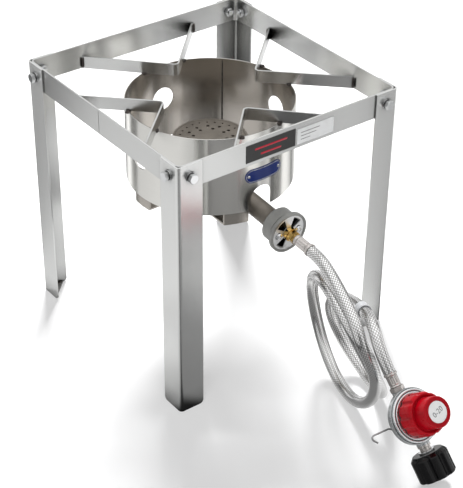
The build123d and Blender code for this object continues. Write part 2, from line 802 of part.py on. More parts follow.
spring_low = plate_high + spring_wire + spring_play
spring_rise = travel_plate_low - spring_wire - spring_play - spring_low
spring_quarters = 4 * spring_turns
spring_places = []
spring_ways = []
for quarter in range(spring_quarters + 1):
    angle = quarter * pi / 2
    height = spring_low + spring_rise * quarter / spring_quarters
    spring_places.append(Vector(spring_radius * cos(angle), spring_radius * sin(angle), height))
    climb = spring_rise / (spring_turns * 2 * pi)
    spring_ways.append(
        Vector(-spring_radius * sin(angle), spring_radius * cos(angle), climb).normalized()
    )
spring, spring_path = wound(spring_places, spring_ways, spring_wire)
print("spring gap", round(self_gap(spring_path, spring_wire, pi * spring_radius), 2))
save("control_spring", regulator * spring)

# Hose: braided, from the burner's ferrule in two standing loops to the regulator's ferrule.
# Each loop has a centre and two arms, a quarter turn apart; the hose passes evenly from the
# first loop over the middle one to the last one.
hose_radius = hose_diameter / 2
hose_quarters = 7
hose_apart = 84.0
loop_centres = [Vector(-87, -254, 77), Vector(55, -222, 79), Vector(-44, -282, 77)]
loop_arms = [Vector(78, -54, 33), Vector(-48, -68, 11), Vector(-20, -79, 38)]
loop_cross_arms = [Vector(14, -41, -59), Vector(39, -15, -73), Vector(-72, -52, -52)]


def loop_place(quarter):
    """The hose's centre after a number of quarter turns."""
    share = quarter / hose_quarters
    angle = quarter * pi / 2
    centre = unit_blend(loop_centres, share)
    return centre + unit_blend(loop_arms, share) * cos(angle) + unit_blend(loop_cross_arms, share) * sin(angle)


def loop_way(quarter, nudge_share=0.001):
    """The hose's direction there."""
    return (loop_place(quarter + nudge_share) - loop_place(quarter - nudge_share)).normalized()


hose_places = [loop_place(quarter) for quarter in range(hose_quarters + 1)]
hose_ways = [loop_way(quarter) for quarter in range(hose_quarters + 1)]
hose_coil, coil_path = wound(hose_places, hose_ways, hose_radius)
print("hose coil length", round(coil_path.length, 1))
print("hose coil gap to itself", round(self_gap(coil_path, hose_radius, hose_apart), 2))
save("hose_coil", hose_coil)

run_share = 0.45
lead_exit = 18.0
lead_join = 20.0
tail_join = 32.0
tail_exit = 24.0
lead_points = [(-5, -238, 174), (-10, -267, 160), (-14, -289, 144.5)]
tail_points = [(1, -298, 149)]
lead_route = [
    mixer_frame.from_local_coords((0, 0, hose_start)),
    mixer_frame.from_local_coords((0, 0, hose_start + lead_exit)),
    *[Vector(*point) for point in lead_points],
    hose_places[0] - hose_ways[0] * lead_join,
    hose_places[0],
]
outlet_axis = Plane(outlet)
tail_route = [
    hose_places[-1],
    hose_places[-1] + hose_ways[-1] * tail_join,
    *[Vector(*point) for point in tail_points],
    outlet_axis.from_local_coords((0, 0, outlet_end + tail_exit)),
    outlet_axis.from_local_coords((0, 0, outlet_end)),
]


def hose_run(name, route):
    """A stretch of hose: straight runs joined by arcs as large as the runs allow."""
    radii = []
    for before, corner, after in zip(route, route[1:], route[2:]):
        incoming = corner - before
        outgoing = after - corner
        half_turn = radians(incoming.get_angle(outgoing)) / 2
        radii.append(run_share * min(incoming.length, outgoing.length) / tan(half_turn))
    path = FilletPolyline(*route, radius=radii)
    run = sweep(Plane(origin=path @ 0, z_dir=path % 0) * Circle(hose_radius), path=path)
    print(name, "radii", [round(radius) for radius in radii], "length", round(path.length, 1))
    print(name, "route", [tuple(round(value, 1) for value in tuple(point)) for point in route])
    print(name, "volume share", round(run.volume / (pi * hose_radius ** 2 * path.length), 4))
    save(name, run)
    return path


lead_path = hose_run("hose_lead", lead_route)
tail_path = hose_run("hose_tail", tail_route)
print("hose length", round(lead_path.length + coil_path.length + tail_path.length, 1))

# Clear sleeve that ties the last run
tie_share = 0.3
tie_length = 12.0
tie_play = 0.4
tie_wall = 0.9
tie_plane = Plane(origin=tail_path @ tie_share, z_dir=tail_path % tie_share)
tie = ring(hose_radius + tie_play + tie_wall, hose_radius + tie_play, -tie_length / 2, tie_length / 2)
save("hose_tie", tie_plane.location * tie)

# Nameplate on the shroud: thin curved plate with round ends and two rivets
plate_width = 52.0
plate_tall = 17.5
plate_x = 3.8
plate_drop = 54.0
plate_sheet = 0.5
plate_gap = 0.05
rivet_inset = 4.5
rivet_shank = 1.2
rivet_head_radius = 2.0
rivet_head = 0.9
rivet_play = 0.05
plate_z = shroud_top - plate_drop
plate_outline = Pos(plate_x, plate_z) * SlotOverall(plate_width, plate_tall)
nameplate = ring(
    shroud_radius + plate_gap + plate_sheet, shroud_radius + plate_gap, shroud_bottom, shroud_top
) & (Pos(0, -shroud_radius / 2, 0) * extrude(Plane.XZ * plate_outline, shroud_radius))
rivets = []
for end in (-1, 1):
    rivet_angle = (plate_x + end * (plate_width / 2 - rivet_inset)) / shroud_radius
    rivet_place = Rot(0, 0, rivet_angle * 180 / pi) * Pos(0, -shroud_radius, plate_z) * Rot(90, 0, 0)
    head_low = plate_gap + plate_sheet + rivet_play
    rivet = turned(
        (0, -shroud_wall - rivet_head),
        (rivet_shank, -shroud_wall - rivet_head),
        (rivet_shank, head_low),
        (rivet_head_radius, head_low),
        (rivet_shank, head_low + rivet_head),
        (0, head_low + rivet_head),
    )
    rivets.append(rivet_place * rivet)
    hole = rivet_place * rod(rivet_shank + rivet_play, -shroud_wall - overrun, overrun)
    nameplate -= hole
    shroud -= hole
save("nameplate", nameplate)
save("nameplate_rivets", *rivets)
save("shroud", shroud)

# Two bare plates on the front of the band
dark_width = 67.0
dark_height = 21.0
dark_x = -28.5
dark_drop = 15.5
pale_width = 51.5
pale_height = 19.0
pale_x = 33.2
pale_drop = 16.5
rail_sheet = 0.5
for name, width, height, centre_x, drop in (
    ("rail_plate_dark", dark_width, dark_height, dark_x, dark_drop),
    ("rail_plate_pale", pale_width, pale_height, pale_x, pale_drop),
):
    centre = Pos(centre_x, -band_half - rail_sheet / 2, frame_height - drop)
    save(name, centre * Box(width, rail_sheet, height))
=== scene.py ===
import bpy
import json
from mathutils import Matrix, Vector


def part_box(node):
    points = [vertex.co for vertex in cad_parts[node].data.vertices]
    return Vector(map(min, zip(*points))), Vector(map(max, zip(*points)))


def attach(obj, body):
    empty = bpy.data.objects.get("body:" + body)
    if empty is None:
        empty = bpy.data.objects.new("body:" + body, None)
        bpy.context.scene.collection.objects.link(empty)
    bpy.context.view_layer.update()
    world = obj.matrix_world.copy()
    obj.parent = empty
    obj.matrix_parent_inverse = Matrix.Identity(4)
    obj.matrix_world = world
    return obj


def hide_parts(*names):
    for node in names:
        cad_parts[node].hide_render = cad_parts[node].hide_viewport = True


bl_info = {
    "name": "Gas Burner Stand",
    "version": (1, 0, 0),
    "blender": (4, 5, 0),
    "location": "View3D > Sidebar > Burner Stand",
    "description": "Finishes, braided hose, welds and moulded parts of a square gas burner stand",
    "category": "Object",
}

import json
from math import cos, pi, radians, sin, sqrt

import bmesh
import bpy
import numpy as np
from bpy.props import FloatProperty, FloatVectorProperty, IntProperty, PointerProperty
from mathutils import Matrix, Vector

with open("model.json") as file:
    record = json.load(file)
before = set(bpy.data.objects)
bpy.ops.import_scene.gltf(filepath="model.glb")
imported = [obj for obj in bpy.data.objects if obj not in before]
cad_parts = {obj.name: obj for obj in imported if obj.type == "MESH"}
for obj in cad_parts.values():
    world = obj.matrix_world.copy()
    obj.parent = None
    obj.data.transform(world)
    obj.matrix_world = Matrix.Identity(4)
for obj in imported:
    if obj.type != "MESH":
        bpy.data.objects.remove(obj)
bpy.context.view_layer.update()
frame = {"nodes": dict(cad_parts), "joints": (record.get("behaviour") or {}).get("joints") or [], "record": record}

# Metres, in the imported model's frame: the stand's front faces -Y and Z is up.
HALF_TURN = pi
FULL_TURN = 2 * pi
MERGE_DISTANCE = 1e-7


# Reading the frame


def vertices_of(mesh):
    """A mesh's vertices, one row each."""
    flat = np.empty(3 * len(mesh.vertices))
    mesh.vertices.foreach_get("co", flat)
    return flat.reshape(-1, 3)


def points_of(node):
    """A CAD node's vertices, one row each."""
    return vertices_of(frame["nodes"][node].data)


def corners(node):
    """The lowest and the highest corner of a CAD node's box."""
    low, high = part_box(node)
    return np.array(low), np.array(high)


def unit(ways):
    """Each row as a unit direction."""
    return ways / np.linalg.norm(ways, axis=-1, keepdims=True)


def joint_line(name):
    """A joint's place and its unit direction."""
    joint = next(joint for joint in frame["joints"] if joint["name"] == name)
    return np.array(joint["pos_m"], float), unit(np.array(joint["axis"], float))


def along(origin, way, side):
    """A place: its origin and three unit axes, with way third and side, squared to it, first."""
    way = unit(np.asarray(way, float))
    side = np.asarray(side, float)
    side = unit(side - way * np.dot(side, way))
    return np.asarray(origin, float), np.array([side, np.cross(way, side), way])


def placed(points, place):
    """Local points in the row frame: the origin plus each coordinate times its axis."""
    origin, axes = place
    return origin + points @ axes


def local(points, place):
    """Points of the row frame as coordinates along a place's axes."""
    origin, axes = place
    return (points - origin) @ axes.T


def reach(node, place):
    """Lowest and highest coordinate of a node along a place's third axis, and its radius about it."""
    own = local(points_of(node), place)
    return own[:, 2].min(), own[:, 2].max(), np.hypot(own[:, 0], own[:, 1]).max()


def shifted(place, offset):
    """The same axes with the origin moved by a local offset."""
    return placed(np.asarray(offset, float), place), place[1]


RIGHT_WAY = np.array([1.0, 0.0, 0.0])
UP_WAY = np.array([0.0, 0.0, 1.0])
MIXER = along(*joint_line("shutter_turn"), RIGHT_WAY)
INLET_WAY = joint_line("handwheel_turn")[1]
KNOB = along(*joint_line("knob_turn"), INLET_WAY)
HANDWHEEL = along(*joint_line("handwheel_turn"), KNOB[1][2])
OUTLET = along(HANDWHEEL[0], -HANDWHEEL[1][2], KNOB[1][2])


# Surfaces


def grid_faces(rows, columns, close_rows=False, close_columns=True):
    """The four corners of each cell of a grid of points that are counted row by row."""
    row = np.arange(rows if close_rows else rows - 1)[:, None]
    column = np.arange(columns if close_columns else columns - 1)[None, :]
    low = row * columns
    high = (row + 1) % rows * columns
    after = (column + 1) % columns
    return np.stack([low + column, low + after, high + after, high + column], axis=-1).reshape(-1, 4)


def length_along(line):
    """The length of a line up to each of its points."""
    return np.concatenate([[0], np.cumsum(np.linalg.norm(np.diff(line, axis=0), axis=1))])


def read_at(line, lengths, places):
    """A line's points at some places along its length."""
    return np.stack([np.interp(places, lengths, values) for values in line.T], axis=1)


def evenly(line, step):
    """A line's points, set an even step apart, and the length to each."""
    lengths = length_along(line)
    places = np.linspace(0, lengths[-1], int(round(lengths[-1] / step)) + 1)
    return read_at(line, lengths, places), places


def refined(outline, step):
    """A closed outline with more places on it, none further apart than a step along it."""
    outline = np.concatenate([outline, outline[:1]])
    lengths = length_along(outline)
    places = np.union1d(lengths, np.arange(0, lengths[-1], step))
    return read_at(outline, lengths, places)[:-1]


EASE_POINTS = 5


def eased(outline, radius):
    """A closed outline with eased corners: each becomes a quadratic curve from a radius before it
    to a radius after it, or to half the shorter side."""
    outline = np.asarray(outline, float)
    behind = np.roll(outline, 1, axis=0) - outline
    ahead = np.roll(outline, -1, axis=0) - outline
    behind_length = np.linalg.norm(behind, axis=1, keepdims=True)
    ahead_length = np.linalg.norm(ahead, axis=1, keepdims=True)
    ease = np.minimum(radius, 0.5 * np.minimum(behind_length, ahead_length))
    first = (outline + behind / behind_length * ease)[:, None]
    last = (outline + ahead / ahead_length * ease)[:, None]
    share = np.linspace(0, 1, EASE_POINTS)[None, :, None]
    curve = (1 - share) ** 2 * first + 2 * share * (1 - share) * outline[:, None] + share**2 * last
    return curve.reshape(-1, 2)


def lathe(outline, step, around, place, shape):
    """An outline of radius and height points, refined to a step and turned about a place's third
    axis: x is the radius times the cosine of the turn, y the radius times its sine. shape changes
    the radius by height and turn."""
    outline = refined(outline, step)
    turn = np.linspace(0, FULL_TURN, around, endpoint=False)[None, :]
    height = np.repeat(outline[:, 1:], around, axis=1)
    radius = shape(np.repeat(outline[:, :1], around, axis=1), height, turn)
    points = np.stack([radius * np.cos(turn), radius * np.sin(turn), height], axis=-1)
    return placed(points, place).reshape(-1, 3), grid_faces(len(outline), around, True)


def swept(path, side, across, section, closed=False):
    """A closed section carried along a path: each point is the path's point plus the section's
    first value times side, squared to the path, and its second value times the third direction."""
    if closed:
        way = unit(np.roll(path, -1, axis=0) - np.roll(path, 1, axis=0))
    else:
        way = unit(np.gradient(path, axis=0))
    side = np.broadcast_to(side, path.shape)
    side = unit(side - way * np.sum(side * way, axis=1, keepdims=True))
    third = np.cross(way, side)
    across = np.broadcast_to(across, (len(path),))[:, None, None]
    section = np.asarray(section)[None]
    offset = section[..., :1] * side[:, None] + section[..., 1:] * third[:, None]
    points = path[:, None] + across * offset
    return points.reshape(-1, 3), grid_faces(len(path), section.shape[1], closed)


def joined(parts):
    """Several lots of points and faces as one."""
    starts = np.cumsum([0] + [len(points) for points, _ in parts[:-1]])
    points = np.concatenate([points for points, _ in parts])
    faces = np.concatenate([faces + start for (_, faces), start in zip(parts, starts)])
    return points, faces


def linked(name, data):
    """A mesh, camera or lamp as an object of the scene."""
    thing = bpy.data.objects.new(name, data)
    bpy.context.scene.collection.objects.link(thing)
    return thing


def outwards(mesh, merge_distance=None):
    """Turns a mesh's faces outwards and makes them smooth, once its doubles are merged."""
    work = bmesh.new()
    work.from_mesh(mesh)
    if merge_distance:
        bmesh.ops.remove_doubles(work, verts=work.verts, dist=merge_distance)
    bmesh.ops.recalc_face_normals(work, faces=work.faces)
    work.to_mesh(mesh)
    work.free()
    mesh.shade_smooth()


def new_piece(name, surface, finish, body):
    """A mesh of a surface's points and faces that rides on a body."""
    points, faces = surface
    mesh = bpy.data.meshes.new(name)
    mesh.from_pydata(points.tolist(), [], faces.tolist())
    outwards(mesh, MERGE_DISTANCE)
    mesh.materials.append(finish)
    piece = linked(name, mesh)
    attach(piece, body)
    return piece


def put_in_place(node, surface, finish, body):
    """A finer piece that stands for a CAD node, with its flats shaded evenly."""
    piece = new_piece(f"{node}_finished", surface, finish, body)
    piece.modifiers.new("even_flats", "WEIGHTED_NORMAL").keep_sharp = True
    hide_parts(node)


# Finishes


def shade(value):
    """A colour with its alpha, or a socket as it is."""
    return value if isinstance(value, bpy.types.NodeSocket) else (*value[:3], 1.0)


def tinted(colour, factor):
    """A colour made lighter or darker."""
    return tuple(min(1.0, channel * factor) for channel in colour[:3])


class Nodes:
    """A node tree that is written one step at a time."""

    def __init__(self, tree):
        self.tree = tree

    def step(self, kind, output, sockets=None, **settings):
        """Adds a node, sets or links its sockets and gives back one of its outputs."""
        node = self.tree.nodes.new(kind)
        for name, value in settings.items():
            setattr(node, name, value)
        for key, value in (sockets or {}).items():
            self.feed(node.inputs[key], value)
        return node.outputs[output]

    def feed(self, socket, value):
        """Links a socket, or sets its own value."""
        if isinstance(value, bpy.types.NodeSocket):
            self.tree.links.new(value, socket)
        else:
            socket.default_value = value

    def sum(self, operation, first, second=0.0, third=0.0):
        """One arithmetic step."""
        return self.step("ShaderNodeMath", 0, {0: first, 1: second, 2: third}, operation=operation)

    def vector(self, operation, output, *vectors):
        """One arithmetic step on vectors."""
        return self.step("ShaderNodeVectorMath", output, dict(enumerate(vectors)), operation=operation)

    def between(self, factor, low, high, start=0.3, end=0.7):
        """A factor mapped from a start and an end to a low and a high value."""
        sockets = {"Value": factor, "From Min": start, "From Max": end, "To Min": low, "To Max": high}
        return self.step("ShaderNodeMapRange", 0, sockets)

    def mixed(self, factor, first, second):
        """Two colours mixed by a factor."""
        sockets = {0: factor, 6: shade(first), 7: shade(second)}
        return self.step("ShaderNodeMix", 2, sockets, data_type="RGBA")

    def either(self, factor, first, second):
        """Two shaders mixed by a factor."""
        return self.step("ShaderNodeMixShader", 0, {0: factor, 1: first, 2: second})

    def ray(self, kind):
        """One for rays of a kind and zero for others."""
        return self.step("ShaderNodeLightPath", f"Is {kind} Ray")

    def ends(self, kind, shader):
        """Ends the tree in an output node."""
        self.feed(self.tree.nodes.new(kind).inputs[0], shader)


EDGE_SAMPLES = 4
# Painted shade in corners and gaps: its colour, and the shares of open surroundings between which it fades out.
PAINTED_SHADE_TONE = (0.03, 0.028, 0.025)
PAINTED_SHADE_SHARES = (0.2, 0.9)
BORE_FADE = 0.0004
GRAIN_PULL = 0.7


class Finish(Nodes):
    """A principled material."""

    def __init__(self, name, metal, roughness, **constants):
        self.material = bpy.data.materials.new(name)
        self.material.use_nodes = True
        super().__init__(self.material.node_tree)
        self.shader = next(node for node in self.tree.nodes if node.type == "BSDF_PRINCIPLED")
        for socket, value in {"Metallic": metal, "Roughness": roughness, **constants}.items():
            self.shader.inputs[socket.replace("_", " ")].default_value = value

    def where(self, stretch=(1, 1, 1)):
        """Object coordinates, stretched along each axis."""
        coordinates = self.step("ShaderNodeTexCoord", "Object")
        return self.step("ShaderNodeMapping", "Vector", {"Vector": coordinates, "Scale": stretch})

    def noise(self, scale, stretch=(1, 1, 1), detail=2.0):
        """Cloudy noise, whose scale is in lumps to the metre."""
        sockets = {"Vector": self.where(stretch), "Scale": scale, "Detail": detail}
        return self.step("ShaderNodeTexNoise", 0, sockets)

    def toned(self, factor, colour, darker, paler):
        """A colour that runs with a factor from a darker to a paler tint."""
        return self.mixed(factor, tinted(colour, darker), tinted(colour, paler))

    def painted_crevice_shade(self, value, depth):
        """Painted shade: a colour that darkens where other surfaces lie within a depth of it, as shade falls in
        corners and gaps.
        """
        # Painted shade from ambient occlusion, not from the lamps.
        clear = self.step("ShaderNodeAmbientOcclusion", "AO", {"Distance": depth}, samples=EDGE_SAMPLES)
        return self.mixed(self.between(clear, 0.0, 1.0, *PAINTED_SHADE_SHARES), PAINTED_SHADE_TONE, value)

    def inside(self, value, place, radius, within):
        """A colour that turns to another within a radius of a place's third axis."""
        offset = self.vector("SUBTRACT", "Vector", self.where(), tuple(place[0]))
        turned = self.vector("CROSS_PRODUCT", "Vector", offset, tuple(place[1][2]))
        distance = self.vector("LENGTH", "Value", turned)
        return self.mixed(self.between(distance, 0.0, 1.0, radius, radius + BORE_FADE), within, value)

    def colour(self, value):
        """Sets the base colour."""
        self.feed(self.shader.inputs["Base Color"], shade(value))

    def roughness(self, value):
        """Sets the roughness."""
        self.feed(self.shader.inputs["Roughness"], value)

    def worn(self, factor, roughness, less, more):
        """A roughness that runs with a factor from a little less to a little more."""
        self.roughness(self.between(factor, roughness - less, roughness + more))

    def relief(self, height, depth, round_edges=0.0):
        """Bumps from a height, over edges that are rounded by a radius. Gives back the material."""
        sockets = {"Height": height, "Distance": depth}
        if round_edges:
            sockets["Normal"] = self.step(
                "ShaderNodeBevel", 0, {"Radius": round_edges}, samples=EDGE_SAMPLES,
            )
        self.feed(self.shader.inputs["Normal"], self.step("ShaderNodeBump", 0, sockets))
        return self.material

    def grain(self, upright):
        """A brushed grain's reflections, drawn out across it."""
        tangent = self.step("ShaderNodeTangent", 0, direction_type="RADIAL", axis="Z")
        self.feed(self.shader.inputs["Tangent"], tangent)
        self.shader.inputs["Anisotropic"].default_value = GRAIN_PULL
        self.shader.inputs["Anisotropic Rotation"].default_value = 0.0 if upright else 0.25


SHEET_LINES = {"fine": 2600.0, "broad": 520.0, "clouds": 9.0}
LINE_LENGTH = 0.012
SHEET_EDGE = 0.0005
SHEET_PAINTED_SHADE = 0.03


def brushed(name, colour, upright, roughness, bore=None):
    """Brushed sheet: fine lines along the stock, broader paler streaks, soft clouds, a darker, browner tone inside
    a bore, and painted shade where other surfaces lie close."""
    finish = Finish(name, metal=1.0, roughness=roughness)
    stretch = (1, 1, LINE_LENGTH) if upright else (LINE_LENGTH, LINE_LENGTH, 1)
    fine = finish.noise(SHEET_LINES["fine"], stretch, detail=3.0)
    streaks = finish.between(finish.noise(SHEET_LINES["broad"], stretch, detail=1.0), low=-0.35, high=0.35)
    clouds = finish.between(finish.noise(SHEET_LINES["clouds"]), low=0.2, high=0.8)
    sheet = finish.toned(finish.sum("ADD", streaks, clouds), colour, darker=0.985, paler=1.01)
    if bore:
        sheet = finish.inside(sheet, *bore)
    # Painted shade in corners and gaps darkens the sheet near other surfaces.
    finish.colour(finish.painted_crevice_shade(sheet, SHEET_PAINTED_SHADE))
    finish.worn(fine, roughness, less=0.012, more=0.018)
    finish.grain(upright)
    return finish.relief(fine, depth=0.000002, round_edges=SHEET_EDGE)


def bright(name, colour, roughness, painted_shade_depth=0.003):
    """Bright plating: clear, with a faint cloud of handling marks, and painted shade where other surfaces lie
    close.
    """
    finish = Finish(name, metal=1.0, roughness=roughness)
    cloud = finish.noise(scale=140.0, detail=4.0)
    # Painted shade darkens the plating near other surfaces.
    finish.colour(finish.painted_crevice_shade(finish.toned(cloud, colour, darker=0.9, paler=1.06), painted_shade_depth))
    finish.worn(cloud, roughness, less=0.04, more=0.08)
    return finish.relief(finish.noise(scale=2600.0), depth=0.00002, round_edges=0.0003)


def cast(name, colour, metal, roughness, grain, depth, bore=None):
    """Sand-cast metal: a fine grain with larger patches of a darker and a paler tone, and another colour inside a
    bore, which for the air cup is painted shade.
    """
    finish = Finish(name, metal, roughness)
    skin = finish.toned(finish.noise(scale=55.0, detail=5.0), colour, darker=0.7, paler=1.25)
    fine = finish.noise(grain, detail=3.0)
    finish.colour(finish.inside(skin, *bore) if bore else skin)
    finish.worn(fine, roughness, less=0.08, more=0.1)
    return finish.relief(fine, depth, round_edges=0.0006)


def moulded(name, colour, roughness, grain=1800.0, depth=0.00003, shine=0.3):
    """Moulded plastic or rubber: a fine sparkle of grain and a slow drift of tone."""
    finish = Finish(name, metal=0.0, roughness=roughness, Specular_IOR_Level=shine)
    finish.colour(finish.toned(finish.noise(scale=60.0, detail=3.0), colour, darker=0.85, paler=1.12))
    finish.worn(finish.noise(scale=400.0), roughness, less=0.01, more=0.02)
    return finish.relief(finish.noise(grain), depth, round_edges=0.0003)


def enamelled(name, colour, roughness):
    """Printed or enamelled sheet: an even colour with a slight orange-peel skin."""
    finish = Finish(
        name, metal=0.0, roughness=roughness, Specular_IOR_Level=0.3, Coat_Weight=0.15, Coat_Roughness=0.1,
    )
    finish.colour(finish.toned(finish.noise(scale=90.0, detail=3.0), colour, darker=0.9, paler=1.1))
    return finish.relief(finish.noise(scale=900.0), depth=0.00002, round_edges=0.0002)


def weld_finish(name, colour):
    """A weld bead: scale with darker and paler patches."""
    finish = Finish(name, metal=0.8, roughness=0.45)
    patch = finish.between(finish.noise(scale=350.0, detail=4.0), low=0, high=1, start=0.35, end=0.6)
    finish.colour(finish.toned(patch, colour, darker=0.4, paler=1.6))
    return finish.relief(finish.noise(scale=1400.0, detail=4.0), depth=0.0001)


CROWN_SHARE = 0.7


def braided(name, hose):
    """Wire braid on the hose's own map: bands run both ways round, over and under by turns, and
    each is a flat bundle of wires. A band's number is its share of the turn plus or minus its
    share of the length. The colour is painted shade in the dips between bands and wires, and a
    painted highlight on their crowns."""
    finish = Finish(name, metal=1.0, roughness=0.3)
    spot = finish.step("ShaderNodeUVMap", 0)
    turn, length = (finish.step("ShaderNodeSeparateXYZ", axis, {0: spot}) for axis in ("X", "Y"))
    round_share = finish.sum("MULTIPLY", turn, float(hose.bands))
    length_share = finish.sum("MULTIPLY", length, band_rate(hose))
    bands = [finish.sum(sign, round_share, length_share) for sign in ("ADD", "SUBTRACT")]
    crowns = [finish.sum("COSINE", finish.sum("MULTIPLY", band, HALF_TURN)) for band in bands]
    weave = finish.sum("MULTIPLY", *crowns)
    on_top = finish.sum("GREATER_THAN", weave, 0.0)
    crown = finish.sum("POWER", finish.sum("ABSOLUTE", weave), 0.5)
    turns = FULL_TURN * hose.wires
    first, second = (finish.sum("COSINE", finish.sum("MULTIPLY", band, turns)) for band in bands)
    wave = finish.step("ShaderNodeMix", 0, {0: on_top, 2: second, 3: first})
    wires = finish.between(wave, low=0.0, high=1.0, start=-1.0, end=1.0)
    height = finish.sum(
        "ADD", finish.sum("MULTIPLY", crown, CROWN_SHARE), finish.sum("MULTIPLY", wires, 1 - CROWN_SHARE),
    )
    # Painted shade in the dips of the weave and a painted highlight on its crowns, by height.
    tone = finish.between(height, low=0.0, high=1.0, start=0.15, end=0.85)
    finish.colour(finish.toned(tone, finish_colours().braid, darker=0.3, paler=1.25))
    finish.roughness(finish.between(wires, low=0.2, high=0.1, start=0.0, end=1.0))
    return finish.relief(height, depth=0.00003)


FILM_TONES = ((0.6, 0.61, 0.63), (0.78, 0.79, 0.81))


def clear_film(name):
    """Thin clear plastic that is a little cloudy."""
    finish = Finish(name, metal=0.0, roughness=0.3, Transmission_Weight=0.3, IOR=1.45)
    cloud = finish.noise(scale=260.0, detail=3.0)
    finish.colour(finish.mixed(cloud, *FILM_TONES))
    return finish.relief(cloud, depth=0.0002)


def pebbled(name, colour):
    """Die-cast cover: a bright speckled face, with painted shade where other surfaces lie close."""
    finish = Finish(name, metal=0.9, roughness=0.3)
    speck = finish.noise(scale=750.0, detail=4.0)
    skin = finish.toned(finish.between(speck, low=0, high=1), colour, darker=0.92, paler=1.06)
    # Painted shade darkens the face near other surfaces.
    finish.colour(finish.painted_crevice_shade(skin, depth=0.002))
    finish.roughness(finish.between(speck, low=0.2, high=0.28))
    return finish.relief(speck, depth=0.00002, round_edges=0.0004)


# Sizes and colours that a user would change


def metres(name, description, default):
    """A size that a user would change."""
    return FloatProperty(name=name, description=description, default=default, unit="LENGTH")


def degrees(name, description, default):
    """An angle that a user would change."""
    return FloatProperty(name=name, description=description, default=radians(default), unit="ROTATION")


def paint(name, description, default):
    """A colour that a user would change."""
    return FloatVectorProperty(
        name=name, description=description, default=default, subtype="COLOR", min=0, max=1,
    )


class HoseSizes(bpy.types.PropertyGroup):
    """The braided gas hose."""

    diameter: metres("Diameter", "Outside diameter of the braid", 0.014)
    length: metres("Length", "Real length of the hose", 1.085)
    bands: IntProperty(name="Bands", description="Bands of wire that run each way round", default=12)
    wires: IntProperty(name="Wires", description="Wires side by side in one band", default=5)
    relief: metres("Relief", "Depth of the dips between bands", 0.00005)


class WeldSizes(bpy.types.PropertyGroup):
    """Weld beads and blobs."""

    width: metres("Width", "Width of a bead", 0.0026)
    blob: metres("Blob", "Radius of a tack weld", 0.0026)
    ripple: metres("Ripple", "Spacing of a bead's ripples", 0.0018)


class MouldSizes(bpy.types.PropertyGroup):
    """Knob and handwheel details."""

    knob_ease: metres("Knob easing", "Rounding of the knob", 0.0014)
    scallops: IntProperty(name="Scallops", description="Finger scallops round the knob", default=10)
    flutes: IntProperty(name="Flutes", description="Flutes round the handwheel", default=8)
    flute_depth: metres("Flute depth", "Depth of a flute", 0.0031)
    digit: metres("Digit height", "Height of the numbers", 0.0082)


class StageSettings(bpy.types.PropertyGroup):
    """Camera, floor and studio light."""

    camera_place: FloatVectorProperty(
        name="Camera place", description="Place of the camera", default=(-0.891607, -1.227851, 1.111739),
        subtype="TRANSLATION", unit="LENGTH",
    )
    azimuth: degrees("Azimuth", "Turn of the view", -36.979)
    elevation: degrees("Elevation", "Height of the view", 33.937)
    roll: degrees("Roll", "Roll of the view", 0.544)
    lens: FloatProperty(name="Lens", description="Focal length in millimetres", default=109.19)
    key_power: FloatProperty(name="Key power", description="Power of the key light in watts", default=150.0)
    fill_power: FloatProperty(
        name="Fill power", description="Power of the fill light in watts", default=40.0,
    )
    ambient: FloatProperty(name="Ambient", description="Strength of the light from all round", default=0.24)


class FinishColours(bpy.types.PropertyGroup):
    """Base colours of the finishes."""

    sheet: paint("Sheet", "Brushed sheet of the stand", (0.86, 0.865, 0.855))
    shroud: paint("Shroud", "Rolled sheet round the burner", (0.87, 0.86, 0.825))
    plating: paint("Plating", "Bright plated small parts", (0.9, 0.91, 0.92))
    ferrule: paint("Ferrule", "Crimped ferrules", (0.72, 0.68, 0.655))
    brass: paint("Brass", "Turned brass", (0.95, 0.62, 0.2))
    iron: paint("Iron", "Burner casting", (0.2, 0.18, 0.155))
    cup: paint("Cup", "Air cup casting", (0.33, 0.33, 0.318))
    braid: paint("Braid", "Wire of the hose", (0.94, 0.915, 0.88))
    zinc: paint("Zinc", "Die-cast regulator", (0.66, 0.68, 0.69))
    spring: paint("Spring", "Spring steel", (0.5, 0.5, 0.5))
    rubber: paint("Rubber", "Seals", (0.02, 0.02, 0.02))
    red: paint("Red", "Knob", (0.4, 0.0012, 0.008))
    black: paint("Black", "Handwheel", (0.003, 0.003, 0.0033))
    white: paint("White", "Dial", (0.97, 0.975, 0.97))
    grey: paint("Grey", "Numbers", (0.16, 0.18, 0.18))
    blue: paint("Blue", "Nameplate", (0.004, 0.02, 0.15))
    dark: paint("Dark", "Dark plate", (0.035, 0.035, 0.035))
    pale: paint("Pale", "Pale plate", (0.7, 0.71, 0.71))
    line: paint("Line", "Thin line on the dark plate", (0.5, 0.02, 0.04))
    weld: paint("Weld", "Weld scale", (0.07, 0.06, 0.055))
    wire: paint("Wire", "Wire hook and spring washers", (0.42, 0.42, 0.42))
    seam: paint("Seam", "Shroud seam", (0.06, 0.055, 0.05))
    # A darker, browner tone inside the shroud's wall.
    shroud_inside: paint("Shroud inside", "Inside of the shroud", (0.56, 0.525, 0.48))
    # Painted shade: near black inside the air cup, seen through its windows.
    cup_painted_shade: paint("Cup painted shade", "Inside of the air cup", (0.012, 0.012, 0.012))


def hose_sizes():
    """The hose's sizes, as they stand."""
    return bpy.context.scene.stand_hose


def finish_colours():
    """The finishes' base colours, as they stand."""
    return bpy.context.scene.stand_colours


def band_rate(hose):
    """Bands to the metre of hose, for bands that cross at a right angle."""
    return hose.bands / (pi * hose.diameter)


# Hose


